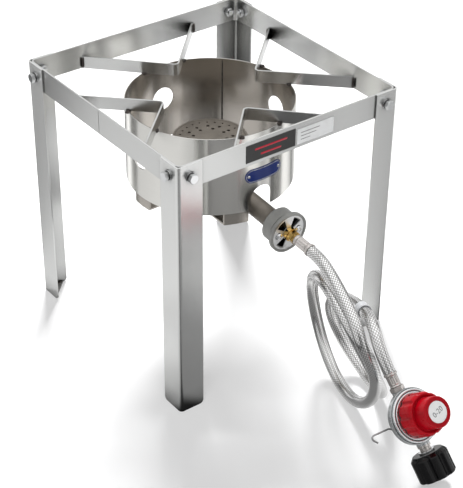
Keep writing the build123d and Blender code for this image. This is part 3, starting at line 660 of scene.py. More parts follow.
HOSE_NODES = ("hose_lead", "hose_coil", "hose_tail")
HOSE_QUARTERS = 7
POINTS_PER_QUARTER = 4
LOOP_CENTRES = np.array([(-0.087, -0.254, 0.077), (0.055, -0.222, 0.079), (-0.044, -0.282, 0.077)])
LOOP_ARMS = np.array([(0.078, -0.054, 0.033), (-0.048, -0.068, 0.011), (-0.020, -0.079, 0.038)])
LOOP_CROSS_ARMS = np.array([(0.014, -0.041, -0.059), (0.039, -0.015, -0.073), (-0.072, -0.052, -0.052)])
LEAD_EXIT = 0.018
LEAD_POINTS = [(-0.005, -0.238, 0.174), (-0.010, -0.267, 0.160), (-0.014, -0.289, 0.1445)]
LEAD_JOIN = (-0.0154, -0.3003, 0.1273)
TAIL_JOIN = (0.0188, -0.2589, 0.1392)
TAIL_POINTS = [(0.001, -0.298, 0.149)]
TAIL_EXIT = 0.024
SPLINE_ORDER = 3
SPLINE_STEPS = 24


def loop_points(quarters):
    """The loops' centre line: centre plus arm times cosine plus cross arm times sine of the turn,
    where each of the three passes by quadratic weights from its first to its last value."""
    share = quarters[:, None] / HOSE_QUARTERS
    turn = quarters[:, None] * HALF_TURN / 2
    weights = np.stack([(1 - share) * (1 - 2 * share), 4 * share * (1 - share), share * (2 * share - 1)])
    centre, arm, cross = (
        np.sum(weights * values[:, None], axis=0) for values in (LOOP_CENTRES, LOOP_ARMS, LOOP_CROSS_ARMS)
    )
    return centre + arm * np.cos(turn) + cross * np.sin(turn)


def hose_ends():
    """Where the hose leaves each ferrule, and the way it leaves."""
    lead_start = placed(np.array([0, 0, reach("burner_ferrule", MIXER)[1]]), MIXER)
    tail_end = placed(np.array([0, 0, reach("regulator_ferrule", OUTLET)[1]]), OUTLET)
    return lead_start, MIXER[1][2], tail_end, OUTLET[1][2]


def meshed(curve):
    """The mesh of a curve or a text."""
    holder = bpy.data.objects.new(curve.name, curve)
    mesh = bpy.data.meshes.new_from_object(holder)
    bpy.data.objects.remove(holder)
    return mesh


def hose_line():
    """The hose's centre line, read from a spline through its control points."""
    start, start_way, end, end_way = hose_ends()
    coil = loop_points(np.arange(HOSE_QUARTERS * POINTS_PER_QUARTER + 1) / POINTS_PER_QUARTER)
    controls = np.concatenate([
        [start, start + start_way * LEAD_EXIT], LEAD_POINTS, [LEAD_JOIN], coil,
        [TAIL_JOIN], TAIL_POINTS, [end + end_way * TAIL_EXIT, end],
    ])
    curve = bpy.data.curves.new("hose_line", "CURVE")
    curve.dimensions = "3D"
    spline = curve.splines.new("NURBS")
    spline.points.add(len(controls) - 1)
    spline.points.foreach_set("co", np.c_[controls, np.ones(len(controls))].ravel())
    spline.order_u = SPLINE_ORDER
    spline.use_endpoint_u = True
    curve.resolution_u = SPLINE_STEPS
    mesh = meshed(curve)
    line = vertices_of(mesh)
    bpy.data.curves.remove(curve)
    bpy.data.meshes.remove(mesh)
    return line


def braid_surface(line, hose):
    """The braid: rings of points at half-band steps, each turned half a step from the last, so
    that a point lies on every crossing and every dip. A point stands at the hose's radius less
    the relief times one minus the crown, which is the product of the two bands' cosines."""
    points, length = evenly(line, 1 / (2 * 2 * band_rate(hose)))
    way = unit(np.gradient(points, axis=0))
    normal = unit(RIGHT_WAY - way * way[:, :1])
    side = np.cross(way, normal)
    rows, columns = len(points), 2 * hose.bands
    row = np.arange(rows)[:, None]
    notch = 2 * np.arange(columns)[None, :] + row % 2
    turn = notch * FULL_TURN / (2 * columns)
    first = (notch + row) / 4
    second = (notch - row) / 4
    crown = np.abs(np.cos(HALF_TURN * first) * np.cos(HALF_TURN * second))
    radius = hose.diameter / 2 - hose.relief * (1 - crown)
    ring = np.cos(turn)[..., None] * normal[:, None] + np.sin(turn)[..., None] * side[:, None]
    places = points[:, None] + radius[..., None] * ring
    return places.reshape(-1, 3), rows, columns, length


def braid_mesh(line, hose):
    """Diamond faces over three rings at a time, closed by a fan at each end, with the turn and the
    length as their map."""
    places, rows, columns, length = braid_surface(line, hose)
    row = np.arange(rows - 2)[:, None]
    column = np.arange(columns)[None, :]
    odd = row % 2
    right = (row + 1) * columns + (column + odd) % columns
    left = (row + 1) * columns + (column + odd - 1) % columns
    diamonds = np.stack([row * columns + column, right, (row + 2) * columns + column, left], axis=-1)
    notch = 2 * column + odd
    share = np.stack([notch, notch + 1, notch, notch - 1], axis=-1) / (2 * columns)
    height = np.stack([length[row], length[row + 1], length[row + 2], length[row + 1]], axis=-1)
    height = np.broadcast_to(height, share.shape)
    column = column[0]
    ends, fans = [], []
    for ring, beside, middle in ((0, 1, len(places)), (rows - 1, rows - 2, len(places) + 1)):
        base = ring * columns + column
        after = np.roll(base, -1)
        ends.append(np.stack([base, after, beside * columns + (column + ring % 2) % columns], axis=-1))
        fans.append(np.stack([np.full(columns, middle), base, after], axis=-1))
    middles = [places[:columns].mean(axis=0), places[-columns:].mean(axis=0)]
    faces = diamonds.reshape(-1, 4).tolist() + np.concatenate(ends + fans).tolist()
    mesh = bpy.data.meshes.new("hose")
    mesh.from_pydata(np.concatenate([places, middles]).tolist(), [], faces)
    spots = np.zeros((len(mesh.loops), 2))
    spots[:diamonds.size] = np.stack([share.ravel(), height.ravel()], axis=1)
    mesh.uv_layers.new(name="braid").data.foreach_set("uv", spots.ravel())
    outwards(mesh)
    return mesh


class STAND_OT_hose(bpy.types.Operator):
    """Braided hose from the burner's ferrule to the regulator"""

    bl_idname = "stand.hose"
    bl_label = "Hose"

    def execute(self, context):
        hose = hose_sizes()
        line = hose_line()
        piece = linked("hose", braid_mesh(line, hose))
        piece.data.materials.append(braided("wire_braid", hose))
        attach(piece, "root")
        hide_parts(*HOSE_NODES)
        return {"FINISHED"}


# Moulded and turned parts


def ramp(value, start, width):
    """Zero below start, one from start plus width on, and straight between."""
    return np.clip((value - start) / width, 0, 1)


def eased_step(value, start, end):
    """Zero below start and one above end, by the cubic three share squared less two share cubed."""
    share = ramp(value, start, end - start)
    return share**2 * (3 - 2 * share)


# Each turned part's mesh: step along its outline, and points round it.
KNOB_MESH = (0.0012, 240)
WHEEL_MESH = (0.0007, 192)
COVER_MESH = (0.0005, 128)
FERRULE_MESH = (0.0006, 96)


def from_mark(turn, pitch):
    """A turn's offset from the nearest mark, where marks stand a pitch apart."""
    return (turn + pitch / 2) % pitch - pitch / 2


def thread(height, turn, pitch):
    """A thread's wave: the sine of the height in pitches less the turn."""
    return np.sin(FULL_TURN * height / pitch - turn)


SHARP_EDGE = 0.0002
FINE_EDGE = 0.0001
# Corners over the knob's skirt: share of its radius, share of its height and share of its easing.
KNOB_CROWN = (
    (1.0, 0.46, 1.4), (0.94, 0.545, 1.4), (0.86, 0.565, 1.4), (0.775, 0.5, 1.0), (0.73, 0.5, 1.0),
    (0.715, 1.0, 1.2),
)
DIAL_GAP = 0.0003
DIAL_TURN = radians(104)
INK_DEPTH = 0.00004
SCALLOP_RADIUS = 0.1875
SCALLOP_DEPTH = 0.0667
SCALLOP_FADE = (0.92, 0.06)
SCALLOP_OVERRUN = 0.1


class STAND_OT_knob(bpy.types.Operator):
    """Scalloped red knob with eased edges, and the numbers on its dial"""

    bl_idname = "stand.knob"
    bl_label = "Knob and dial"

    def execute(self, context):
        sizes = context.scene.stand_mould
        ease = sizes.knob_ease
        low, high, radius = reach("knob", KNOB)
        dial_low, dial_high, dial_radius = reach("dial_disc", KNOB)
        tall = high - low
        bore, hub, wall = 0.479 * radius, 0.5625 * radius, 0.9 * radius
        skirt, roof = low + 0.46 * tall, low + 0.824 * tall
        profile = np.array([
            (bore, low, SHARP_EDGE), (hub, low, SHARP_EDGE), (hub, skirt, SHARP_EDGE),
            (wall, skirt, SHARP_EDGE), (wall, low, SHARP_EDGE), (radius, low, ease),
            *((share * radius, low + level * tall, part * ease) for share, level, part in KNOB_CROWN),
            (dial_radius + 2 * DIAL_GAP, high, 0.4 * ease), (dial_radius + DIAL_GAP, dial_low, FINE_EDGE),
            (0.0, dial_low, FINE_EDGE), (0.0, roof, FINE_EDGE), (bore, roof, FINE_EDGE),
        ])
        outline = eased(profile[:, :2], profile[:, 2:])
        outline[:, 0] = np.maximum(outline[:, 0], 0.0)
        cut_radius = SCALLOP_RADIUS * radius
        cut_place = radius + cut_radius - SCALLOP_DEPTH * radius

        def scalloped(flat_radius, height, turn):
            """Each scallop is a round cut: the radius is at most the near side of a circle."""
            offset = from_mark(turn, FULL_TURN / sizes.scallops)
            inside = np.clip(1 - (cut_place * np.sin(offset) / cut_radius) ** 2, 0, 1)
            edge = cut_place * np.cos(offset) - cut_radius * np.sqrt(inside)
            cut = np.where(inside > 0, np.maximum(radius - edge, 0), 0)
            outside = ramp(flat_radius / radius, *SCALLOP_FADE)
            return flat_radius - cut * outside * (height < skirt + SCALLOP_OVERRUN * tall)

        surface = lathe(outline, *KNOB_MESH, KNOB, scalloped)
        red = moulded("red_plastic", finish_colours().red, 0.28, depth=0.00001, shine=0.22)
        put_in_place("knob", surface, red, "knob")
        self.numbers(dial_high, sizes.digit)
        return {"FINISHED"}

    def numbers(self, height, tall):
        """Plain numbers across the middle of the dial."""
        text = bpy.data.curves.new("dial_numbers", "FONT")
        text.body = "0-20"
        text.size = tall
        text.align_x = "CENTER"
        text.align_y = "CENTER"
        text.extrude = INK_DEPTH
        mesh = meshed(text)
        base = Matrix(KNOB[1].tolist()).transposed().to_4x4()
        base.translation = Vector(placed(np.array([0, 0, height + INK_DEPTH]), KNOB))
        mesh.transform(base @ Matrix.Rotation(DIAL_TURN, 4, "Z"))
        mesh.materials.clear()
        mesh.materials.append(enamelled("number_ink", finish_colours().grey, 0.5))
        piece = linked("dial_numbers", mesh)
        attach(piece, "knob")


FACET_SKIN = 0.0001
FLUTE_HALF_WIDTH = 0.25
FLUTE_FADE = (0.84, 0.1)
WHEEL_CHAMFER = 0.0015
WHEEL_EASE = 0.0009
WHEEL_THREAD = {"pitch": 0.0028, "depth": 0.00045, "start": 0.002}
BORE_MARGIN = 0.0002


class STAND_OT_handwheel(bpy.types.Operator):
    """Fluted black handwheel with the connector's thread in its bore"""

    bl_idname = "stand.handwheel"
    bl_label = "Connector handwheel"

    def execute(self, context):
        sizes = context.scene.stand_mould
        low, high, radius = reach("connector_handwheel", HANDWHEEL)
        radius -= FACET_SKIN
        tall = high - low
        hub, bore, nose = 0.3 * radius, 0.729 * radius, 0.82 * radius
        floor, shoulder, rim = low + 0.133 * tall, low + 0.15 * tall, high - 0.04 * tall
        profile = [
            (hub, low), (nose, low), (radius, shoulder), (radius, rim), (radius - WHEEL_CHAMFER, high),
            (bore, high), (bore, floor), (hub, floor),
        ]
        pitch = FULL_TURN / sizes.flutes

        def fluted(flat_radius, height, turn):
            """A flute is a raised cosine of the turn; the thread is a wave of height and turn."""
            offset = np.abs(from_mark(turn, pitch)) / (FLUTE_HALF_WIDTH * pitch)
            flute = np.sqrt(0.5 + 0.5 * np.cos(np.clip(offset, 0, 1) * HALF_TURN))
            outer = ramp(flat_radius / radius, *FLUTE_FADE)
            wave = thread(height, turn, WHEEL_THREAD["pitch"]) * WHEEL_THREAD["depth"]
            inner = (np.abs(flat_radius - bore) < BORE_MARGIN) & (height > floor + WHEEL_THREAD["start"])
            return flat_radius - sizes.flute_depth * flute * outer + np.where(inner, wave, 0)

        surface = lathe(eased(profile, WHEEL_EASE), *WHEEL_MESH, HANDWHEEL, fluted)
        black = moulded("black_plastic", finish_colours().black, 0.24, grain=900.0, depth=0.00002)
        put_in_place("connector_handwheel", surface, black, "handwheel")
        return {"FINISHED"}


SCREW_HEAD = 0.0026
HEAD_SKIN = 0.0004
DOME_GRID = (24, 72)
DOME_FALL = 0.9
SLOT_SIDES = (0.1, 0.2)
SLOT_ENDS = (0.5, 0.62)
SLOT_DEPTH = 0.35


def dome(place, radius, height):
    """A screw's dome: its height is the root of one minus most of the radius share squared, less a
    cross of two slots, and its last rows close it underneath."""
    rows, around = DOME_GRID
    share = np.linspace(0, 1, rows)[:, None]
    turn = np.linspace(0, FULL_TURN, around, endpoint=False)[None, :]
    x, y = share * np.cos(turn), share * np.sin(turn)
    slots = np.minimum(np.abs(x), np.abs(y))
    cut = (1 - eased_step(slots, *SLOT_SIDES)) * (1 - eased_step(share, *SLOT_ENDS))
    level = height * (np.sqrt(1 - DOME_FALL * share**2) - SLOT_DEPTH * cut)
    top = np.stack([radius * x, radius * y, level], axis=-1)
    under = top[-1:] * (1, 1, 0)
    points = np.concatenate([top, under, under * 0])
    return placed(points, place).reshape(-1, 3), grid_faces(rows + 2, around)


class STAND_OT_screws(bpy.types.Operator):
    """Domed heads with cross slots on the air shutter's screws"""

    bl_idname = "stand.screws"
    bl_label = "Shutter screws"

    def execute(self, context):
        heads = local(points_of("shutter_screws"), MIXER)
        parts = []
        for hand in (-1, 1):
            own = heads[heads[:, 0] * hand > 0]
            middle = (own.min(axis=0) + own.max(axis=0)) / 2
            foot = own[:, 2].max() - SCREW_HEAD
            head = shifted(MIXER, (middle[0], middle[1], foot))
            parts.append(dome(head, np.ptp(own[:, 0]) / 2 + HEAD_SKIN, SCREW_HEAD + HEAD_SKIN))
        shine = bright("screw_plating", finish_colours().plating, 0.12, painted_shade_depth=0.001)
        new_piece("screw_domes", joined(parts), shine, "root")
        return {"FINISHED"}


# Corners of the cover's face: share of its radius and drop below the face.
COVER_FACE = ((1.0, 0.0008), (0.935, 0.0004), (0.915, 0.0018), (0.9, 0.0018), (0.885, 0.0), (0.62, 0.0004))
COVER_EASE = 0.0008
NECK_FOOT = {"width": 0.0035, "drop": 0.0002, "rise": 0.003}
NECK_THREAD = {"pitch": 0.0015, "depth": 0.00025, "start": 0.004}
NECK_MARGIN = 0.0003


class STAND_OT_cover(bpy.types.Operator):
    """Regulator cover: a rolled edge, a groove, a dished face and a threaded neck"""

    bl_idname = "stand.cover"
    bl_label = "Regulator cover"

    def execute(self, context):
        low, high, radius = reach("regulator_cover", KNOB)
        face = low + 0.1429 * (high - low)
        bore, neck = 0.105 * radius, 0.373 * radius
        profile = [
            (bore, low), (radius, low), *((share * radius, face - drop) for share, drop in COVER_FACE),
            (neck + NECK_FOOT["width"], face - NECK_FOOT["drop"]), (neck, face + NECK_FOOT["rise"]),
            (neck, high), (bore, high),
        ]

        def threaded(flat_radius, height, turn):
            """The neck's thread is a wave of height and turn that only cuts inwards."""
            wave = NECK_THREAD["depth"] * (1 + thread(height, turn, NECK_THREAD["pitch"]))
            on_neck = (np.abs(flat_radius - neck) < NECK_MARGIN) & (height > face + NECK_THREAD["start"])
            return flat_radius - wave * on_neck

        surface = lathe(eased(profile, COVER_EASE), *COVER_MESH, KNOB, threaded)
        zinc = pebbled("cover_zinc", tinted(finish_colours().zinc, 1.3))
        put_in_place("regulator_cover", surface, zinc, "root")
        return {"FINISHED"}


# Each ferrule's node, the line it lies on and its bore.
FERRULES = (("burner_ferrule", MIXER, 0.003), ("regulator_ferrule", OUTLET, 0.0042))
FERRULE_EASE = 0.0006
FERRULE_LENGTH = 0.025
FERRULE_BODY = 0.85
# Shares of the body's radius and of the ferrule's height: the groove from the foot up, and the
# step from the top down.
FERRULE_GROOVE = ((1.0, 0.0), (1.0, 0.1), (0.93, 0.13), (0.93, 0.17), (1.0, 0.2))
FERRULE_STEP = ((1.0, 0.2), (0.95, 0.18))
FERRULE_COLLAR = 0.14
CRIMPS = 8
CRIMP_DEPTH = 0.05
CRIMP_REACH = 0.28
CRIMP_FADE = 0.05


class STAND_OT_ferrules(bpy.types.Operator):
    """Crimped ferrules at both ends of the hose"""

    bl_idname = "stand.ferrules"
    bl_label = "Ferrules"

    def execute(self, context):
        steel = bright("ferrule_plating", finish_colours().ferrule, 0.2)
        for node, place, bore in FERRULES:
            put_in_place(node, self.ferrule(node, place, bore), steel, "root")
        return {"FINISHED"}

    def ferrule(self, node, place, bore):
        """The outline turned about the hose's line, with its crimps."""
        low, high, radius = reach(node, place)
        low = max(low, high - FERRULE_LENGTH)
        tall = high - low
        body = FERRULE_BODY * radius
        profile = [
            (bore, low),
            *((share * body, low + level * tall) for share, level in FERRULE_GROOVE),
            *((share * body, high - level * tall) for share, level in FERRULE_STEP),
            (radius, high - FERRULE_COLLAR * tall), (radius, high), (bore, high),
        ]

        def crimped(flat_radius, height, turn):
            """Lengthwise crimps press the middle of the sleeve inwards, by a cosine cubed."""
            zone = ramp(CRIMP_REACH - np.abs((height - low) / tall - 0.5), 0, CRIMP_FADE)
            press = CRIMP_DEPTH * body * np.abs(np.cos(CRIMPS / 2 * turn)) ** 3
            return flat_radius - press * zone * (flat_radius > 0.9 * body)

        return lathe(eased(profile, FERRULE_EASE), *FERRULE_MESH, place, crimped)


# Welds and seams


def oval(width, height, count=10):
    """A closed oval section of a count of points, one width wide and one height deep."""
    turn = np.linspace(0, FULL_TURN, count, endpoint=False)
    return np.stack([width / 2 * np.cos(turn), height / 2 * np.sin(turn)], axis=1)


BEAD_DEPTH = 0.7
POINTS_PER_RIPPLE = 8
RIPPLE_SWELL = 0.16
DRIFT_SWELL = 0.06
DRIFT_RATE = 9.1
TACK_GRID = (13, 20)


def bead(start, end, side, width, ripple, depth_share=BEAD_DEPTH):
    """A weld bead from one place to another: an oval that swells by two cosines of the length, of
    the ripples and of a drift, and closes at both ends by the root of one minus the end share to
    the sixth."""
    start, end = np.asarray(start, float), np.asarray(end, float)
    ripples = np.linalg.norm(end - start) / ripple
    share = np.linspace(0, 1, max(24, int(ripples * POINTS_PER_RIPPLE)))
    path = start + share[:, None] * (end - start)
    swell = RIPPLE_SWELL * np.cos(FULL_TURN * share * ripples)
    swell += DRIFT_SWELL * np.cos(DRIFT_RATE * share * ripples)
    taper = np.sqrt(np.clip(1 - np.abs(2 * share - 1) ** 6, 0, 1))
    return swept(path, side, (1 + swell) * taper, oval(width, width * depth_share))


def blob(centre, size, seed):
    """A tack weld: a ball whose radius swells by a few waves of its two angles."""
    rows, around = TACK_GRID
    turn = np.linspace(0, FULL_TURN, around, endpoint=False)[None, :]
    rise = np.linspace(-HALF_TURN / 2, HALF_TURN / 2, rows)[:, None]
    swell = 1 + 0.14 * np.sin(3 * turn + seed) * np.cos(rise) + 0.1 * np.cos(4 * rise + 2 * seed)
    level = np.sin(rise) + 0 * turn
    ball = np.stack([np.cos(rise) * np.cos(turn), np.cos(rise) * np.sin(turn), level], axis=-1)
    points = np.asarray(centre) + ball * swell[..., None] * np.asarray(size)
    return points.reshape(-1, 3), grid_faces(rows, around)


def quarter_turns(parts):
    """Each lot of points and faces four times, a quarter turn apart about the upright axis."""
    made = []
    for quarter in range(4):
        turn = np.array(Matrix.Rotation(quarter * HALF_TURN / 2, 3, "Z"))
        made += [(points @ turn.T, faces) for points, faces in parts]
    return made


SHROUD_WALL = 0.0015
SUPPORT_BEAD_ENDS = (0.0006, 0.0012)
TACK_DROP = 0.0006
TACK_OFFSET = 0.8
TACK_SHAPE = np.array([1.15, 1.15, 0.8])
FOOT_BEAD = {"inset": 0.0012, "start": 0.006, "end": 0.0235}
SEAM_TURN = radians(45.4)
# Width, ripple and depth share of each seam's bead, and how far it stops short of the sheet's edge.
SHROUD_SEAM = (0.0019, 0.0014, 0.45)
SHROUD_SEAM_STOP = 0.0004
BAND_SEAM = (0.0006, 0.0014, 0.4)
BAND_SEAM_STOP = 0.0003
BAND_SEAM_PLACE = 0.002


class STAND_OT_welds(bpy.types.Operator):
    """Welds of the pot supports, the shroud, the top band and the foot plates"""

    bl_idname = "stand.welds"
    bl_label = "Welds"

    def execute(self, context):
        sizes = context.scene.stand_welds
        colours = finish_colours()
        scale = weld_finish("weld_scale", colours.weld)
        low, high = corners("pot_support_front")
        sheet = corners("foot_plates")[1][2]
        apex = sheet - high[1]
        slope = (-low[1] - apex) / high[0]
        for name, beads, slot in (
            ("support_welds", self.support_welds(sizes, low, high, sheet, slope), "support_steel"),
            ("shroud_tacks", self.shroud_tacks(sizes, low, apex, sheet, slope), "shroud_steel"),
            ("foot_welds", self.foot_welds(sizes, sheet), "zinc_plate"),
        ):
            new_piece(name, joined(quarter_turns(beads)), scale, "root")
        seam = weld_finish("seam_scale", colours.seam)
        new_piece("shroud_seam", joined(self.seams()), seam, "root")
        return {"FINISHED"}

    def support_welds(self, sizes, low, high, sheet, slope):
        """A bead up both faces of each end of the front support."""
        beads = []
        for hand in (-1, 1):
            strip = unit(np.array([hand, -slope, 0]))
            beside = unit(np.array([slope, hand, 0]))
            end = np.array([hand * high[0], low[1], 0])
            for face in (-1, 1):
                foot = end - strip * sizes.width / 2 + face * beside * (sheet / 2 + sizes.width / 5)
                foot[1] = max(foot[1], low[1] + sizes.width / 4)
                start = foot + UP_WAY * (low[2] + SUPPORT_BEAD_ENDS[0])
                stop = foot + UP_WAY * (high[2] - SUPPORT_BEAD_ENDS[1])
                beads.append(bead(start, stop, RIGHT_WAY, sizes.width, sizes.ripple))
        return beads

    def shroud_tacks(self, sizes, low, apex, sheet, slope):
        """A blob on both faces of the front support where it crosses the shroud's wall, a circle."""
        wall = corners("shroud")[1][0] - SHROUD_WALL / 2
        square = 1 + slope**2
        crossing = (-apex * slope + sqrt((apex * slope) ** 2 - square * (apex**2 - wall**2))) / square
        tacks = []
        for hand in (-1, 1):
            spot = np.array([hand * crossing, -apex - crossing * slope, low[2] - TACK_DROP])
            beside = unit(np.array([slope, hand, 0])) * sheet * TACK_OFFSET
            for number, face in enumerate((-1, 1)):
                tacks.append(blob(spot + face * beside, TACK_SHAPE * sizes.blob, number + hand))
        return tacks

    def foot_welds(self, sizes, sheet):
        """A bead along both inner faces of a leg, on its foot plate."""
        edge = corners("foot_plates")[1][0]
        inset, start, end = (edge - FOOT_BEAD[key] for key in ("inset", "start", "end"))
        return [
            bead((inset, start, sheet), (inset, end, sheet), RIGHT_WAY, sizes.width, sizes.ripple),
            bead((start, inset, sheet), (end, inset, sheet), UP_WAY, sizes.width, sizes.ripple),
        ]

    def seams(self):
        """The shroud's seam, inside and outside, and the thin seam of the band."""
        low, high = corners("shroud")
        outward = np.array([cos(SEAM_TURN), sin(SEAM_TURN), 0])
        across = np.array([-outward[1], outward[0], 0])
        seams = []
        for radius in (high[0] - SHROUD_WALL, high[0]):
            start = outward * radius + UP_WAY * (low[2] + SHROUD_SEAM_STOP)
            end = outward * radius + UP_WAY * (high[2] - SHROUD_SEAM_STOP)
            seams.append(bead(start, end, across, *SHROUD_SEAM))
        low, high = corners("top_band")
        start = (low[0], BAND_SEAM_PLACE, low[2] + BAND_SEAM_STOP)
        end = (low[0], BAND_SEAM_PLACE, high[2] - BAND_SEAM_STOP)
        seams.append(bead(start, end, (0, 1, 0), *BAND_SEAM))
        return seams


# Plates


SLOT_STEP = 0.002
BAR_SIDE = 0.6


def slot_loop(width, height, steps=16):
    """A slot's outline: two half circles joined by straight sides."""
    radius = height / 2
    turn = np.linspace(-HALF_TURN / 2, HALF_TURN / 2, steps)
    ends = []
    for hand in (1, -1):
        x = hand * (width / 2 - radius + radius * np.cos(turn))
        ends.append(np.stack([x, hand * radius * np.sin(turn)], axis=1))
    return refined(np.concatenate(ends), SLOT_STEP)


def bar(place, width, height, thickness):
    """A flat bar with round ends: its outline, a little smaller at the top, over itself."""
    outline = slot_loop(width, height, 8)
    middle = outline * 0
    top = outline * (1 - thickness / height)
    levels = (
        (middle, 0.0), (outline, 0.0), (outline, thickness * BAR_SIDE), (top, thickness),
        (middle, thickness),
    )
    points = np.stack([np.c_[loop, np.full(len(loop), level)] for loop, level in levels])
    return placed(points, place).reshape(-1, 3), grid_faces(len(levels), len(outline))


NAMEPLATE_FACE = 0.0006
RIM_INSET = 0.0013
RIM_SECTION = (0.0004, 0.0006, 8)
# Lines of ink: share of the plate's width and height to the middle, then of each for the size.
DARK_PLATE_LINES = ((0.0, 0.16, 0.66, 0.11), (0.0, -0.2, 0.42, 0.11))
PALE_PLATE_LINES = ((-0.14, 0.22, 0.52, 0.035), (-0.19, 0.0, 0.42, 0.035), (-0.27, -0.22, 0.26, 0.035))
LINE_THICKNESS = 0.00008


class STAND_OT_plates(bpy.types.Operator):
    """Rims and plain lines of the three bare plates"""

    bl_idname = "stand.plates"
    bl_label = "Plates"

    def execute(self, context):
        colours = finish_colours()
        silver = bright("plate_rim", colours.plating, 0.25)
        new_piece("nameplate_rim", self.rim(), silver, "root")
        for node, lines, colour, slot in (
            ("rail_plate_dark", DARK_PLATE_LINES, colours.line, "plate_dark"),
            ("rail_plate_pale", PALE_PLATE_LINES, colours.dark, "plate_pale"),
        ):
            ink = enamelled(f"{node}_line", colour, 0.35)
            new_piece(f"{node}_lines", joined(self.bars(node, lines)), ink, "root")
        return {"FINISHED"}

    def rim(self):
        """A slot's outline bent round the shroud: each point's turn is its offset over the radius."""
        low, high = corners("nameplate")
        radius = corners("shroud")[1][0]
        flat = slot_loop(high[0] - low[0] - 2 * RIM_INSET, high[2] - low[2] - 2 * RIM_INSET)
        turn = (high[0] + low[0]) / 2 / radius + flat[:, 0] / radius
        outward = np.stack([np.sin(turn), -np.cos(turn), 0 * turn], axis=1)
        path = outward * (radius + NAMEPLATE_FACE) + UP_WAY * ((low[2] + high[2]) / 2 + flat[:, 1:])
        return swept(path, outward, 1.0, oval(*RIM_SECTION), closed=True)

    def bars(self, node, lines):
        """Bars on a plate's front face, at their shares of its width and height."""
        low, high = corners(node)
        wide, tall = high[0] - low[0], high[2] - low[2]
        middle = np.array([(low[0] + high[0]) / 2, low[1], (low[2] + high[2]) / 2])
        bars = []
        for x, z, width, height in lines:
            place = along(middle + np.array([x * wide, 0, z * tall]), (0, -1, 0), RIGHT_WAY)
            bars.append(bar(place, width * wide, height * tall, LINE_THICKNESS))
        return bars


# Finishes of the CAD nodes


CUP_BORE = 0.0187
HEATED_DEPTH = 0.001


def slot_finishes():
    """The finish of each material slot of the record."""
    tone = finish_colours()
    shroud_line = along((0, 0, 0), UP_WAY, RIGHT_WAY)
    # A darker, browner tone inside the shroud's wall.
    shroud_bore = (shroud_line, corners("shroud")[1][0] - HEATED_DEPTH, tone.shroud_inside)
    # Painted shade inside the air cup's bore.
    cup_shade_bore = (MIXER, CUP_BORE, tone.cup_painted_shade)
    return {
        "zinc_plate": brushed("upright_brushed", tinted(tone.sheet, 1.05), upright=True, roughness=0.25),
        "support_steel": brushed("support_brushed", tinted(tone.sheet, 0.9), upright=False, roughness=0.22),
        "shroud_steel": brushed(
            "shroud_brushed", tone.shroud, upright=False, roughness=0.2, bore=shroud_bore,
        ),
        "bright_zinc": bright("bright_plating", tone.plating, 0.1),
        "burner_iron": cast(
            "burner_casting", tone.iron, metal=0.75, roughness=0.42, grain=1200.0, depth=0.00008,
        ),
        "cup_casting": cast(
            "cup_casting", tone.cup, metal=0.8, roughness=0.38, grain=1800.0, depth=0.00006, bore=cup_shade_bore,
        ),
        "brass": bright("turned_brass", tone.brass, 0.13, painted_shade_depth=0.0012),
        "ferrule_steel": bright("fitting_plating", tone.ferrule, 0.2),
        "braid": bright("braid_under", tone.braid, 0.35),
        "clear_sleeve": clear_film("clear_sleeve"),
        "regulator_zinc": pebbled("die_cast_zinc", tone.zinc),
        "seal_rubber": moulded("black_rubber", tone.rubber, 0.6),
        "spring_steel": bright("spring_steel", tone.spring, 0.3),
        "red_knob": moulded("red_plastic_plain", tone.red, 0.3),
        "dial_white": enamelled("white_disc", tone.white, 0.4),
        "black_handwheel": moulded("black_plastic_plain", tone.black, 0.4),
        "plate_blue": enamelled("blue_enamel", tone.blue, 0.28),
        "plate_dark": enamelled("dark_film", tone.dark, 0.4),
        "plate_pale": enamelled("pale_film", tone.pale, 0.35),
    }


class STAND_OT_finishes(bpy.types.Operator):
    """Finish of each CAD node"""

    bl_idname = "stand.finishes"
    bl_label = "Finishes"

    def execute(self, context):
        finishes = slot_finishes()
        tone = finish_colours()
        own = {
            "top_band": brushed("rail_brushed", tinted(tone.sheet, 0.97), upright=False, roughness=0.25),
            # The rear leg is a darker copy of the leg sheet: painted shade on its inner faces.
            "leg_rear_right": brushed(
                "rear_leg_painted_shade", tinted(tone.sheet, 0.68), upright=True, roughness=0.25,
            ),
            "air_shutter": cast(
                "shutter_plating", tone.plating, metal=0.9, roughness=0.4, grain=2400.0, depth=0.00003,
            ),
            "wire_hook": bright("wire_plating", tone.wire, 0.28),
            # The split washers are a darker copy of the wire plating: painted shade round the bolt heads.
            "bolt_split_washers": bright("washer_painted_shade", tinted(tone.wire, 0.4), 0.3),
        }
        for part in frame["record"]["subparts"]:
            node = frame["nodes"][part["node"]]
            finish = own.get(part["node"], finishes[part["material_slot"]])
            if not node.material_slots:
                node.data.materials.append(finish)
            for slot in node.material_slots:
                slot.material = finish
        return {"FINISHED"}


# Stage


FLOOR_HALF = 6.0
FLOOR_COLOUR = (0.95, 0.95, 0.955, 1)
# The floor's own glow to the camera: its share near and far, and the distances between.
FLOOR_GLOW = {"low": 0.36, "high": 1.0, "start": 0.55, "end": 1.5}
FLOOR_MIRROR = 0.7
FLOOR_MIRROR_GLOW = 0.8
CEILING_RISE = (0.4, 0.85)
CEILING_COLOUR = (1.1, 1.1, 1.1)
WHITE = (1, 1, 1, 1)
KEY_PLACE = (1.0, 1.5, 2.0)
KEY_SIZE = 0.7
FILL_PLACE = (-1.6, -2.0, 1.9)
FILL_SIZE = 2.2
LAMP_AIM = (0, -0.1, 0.15)
VIEW_DEPTH = 50.0
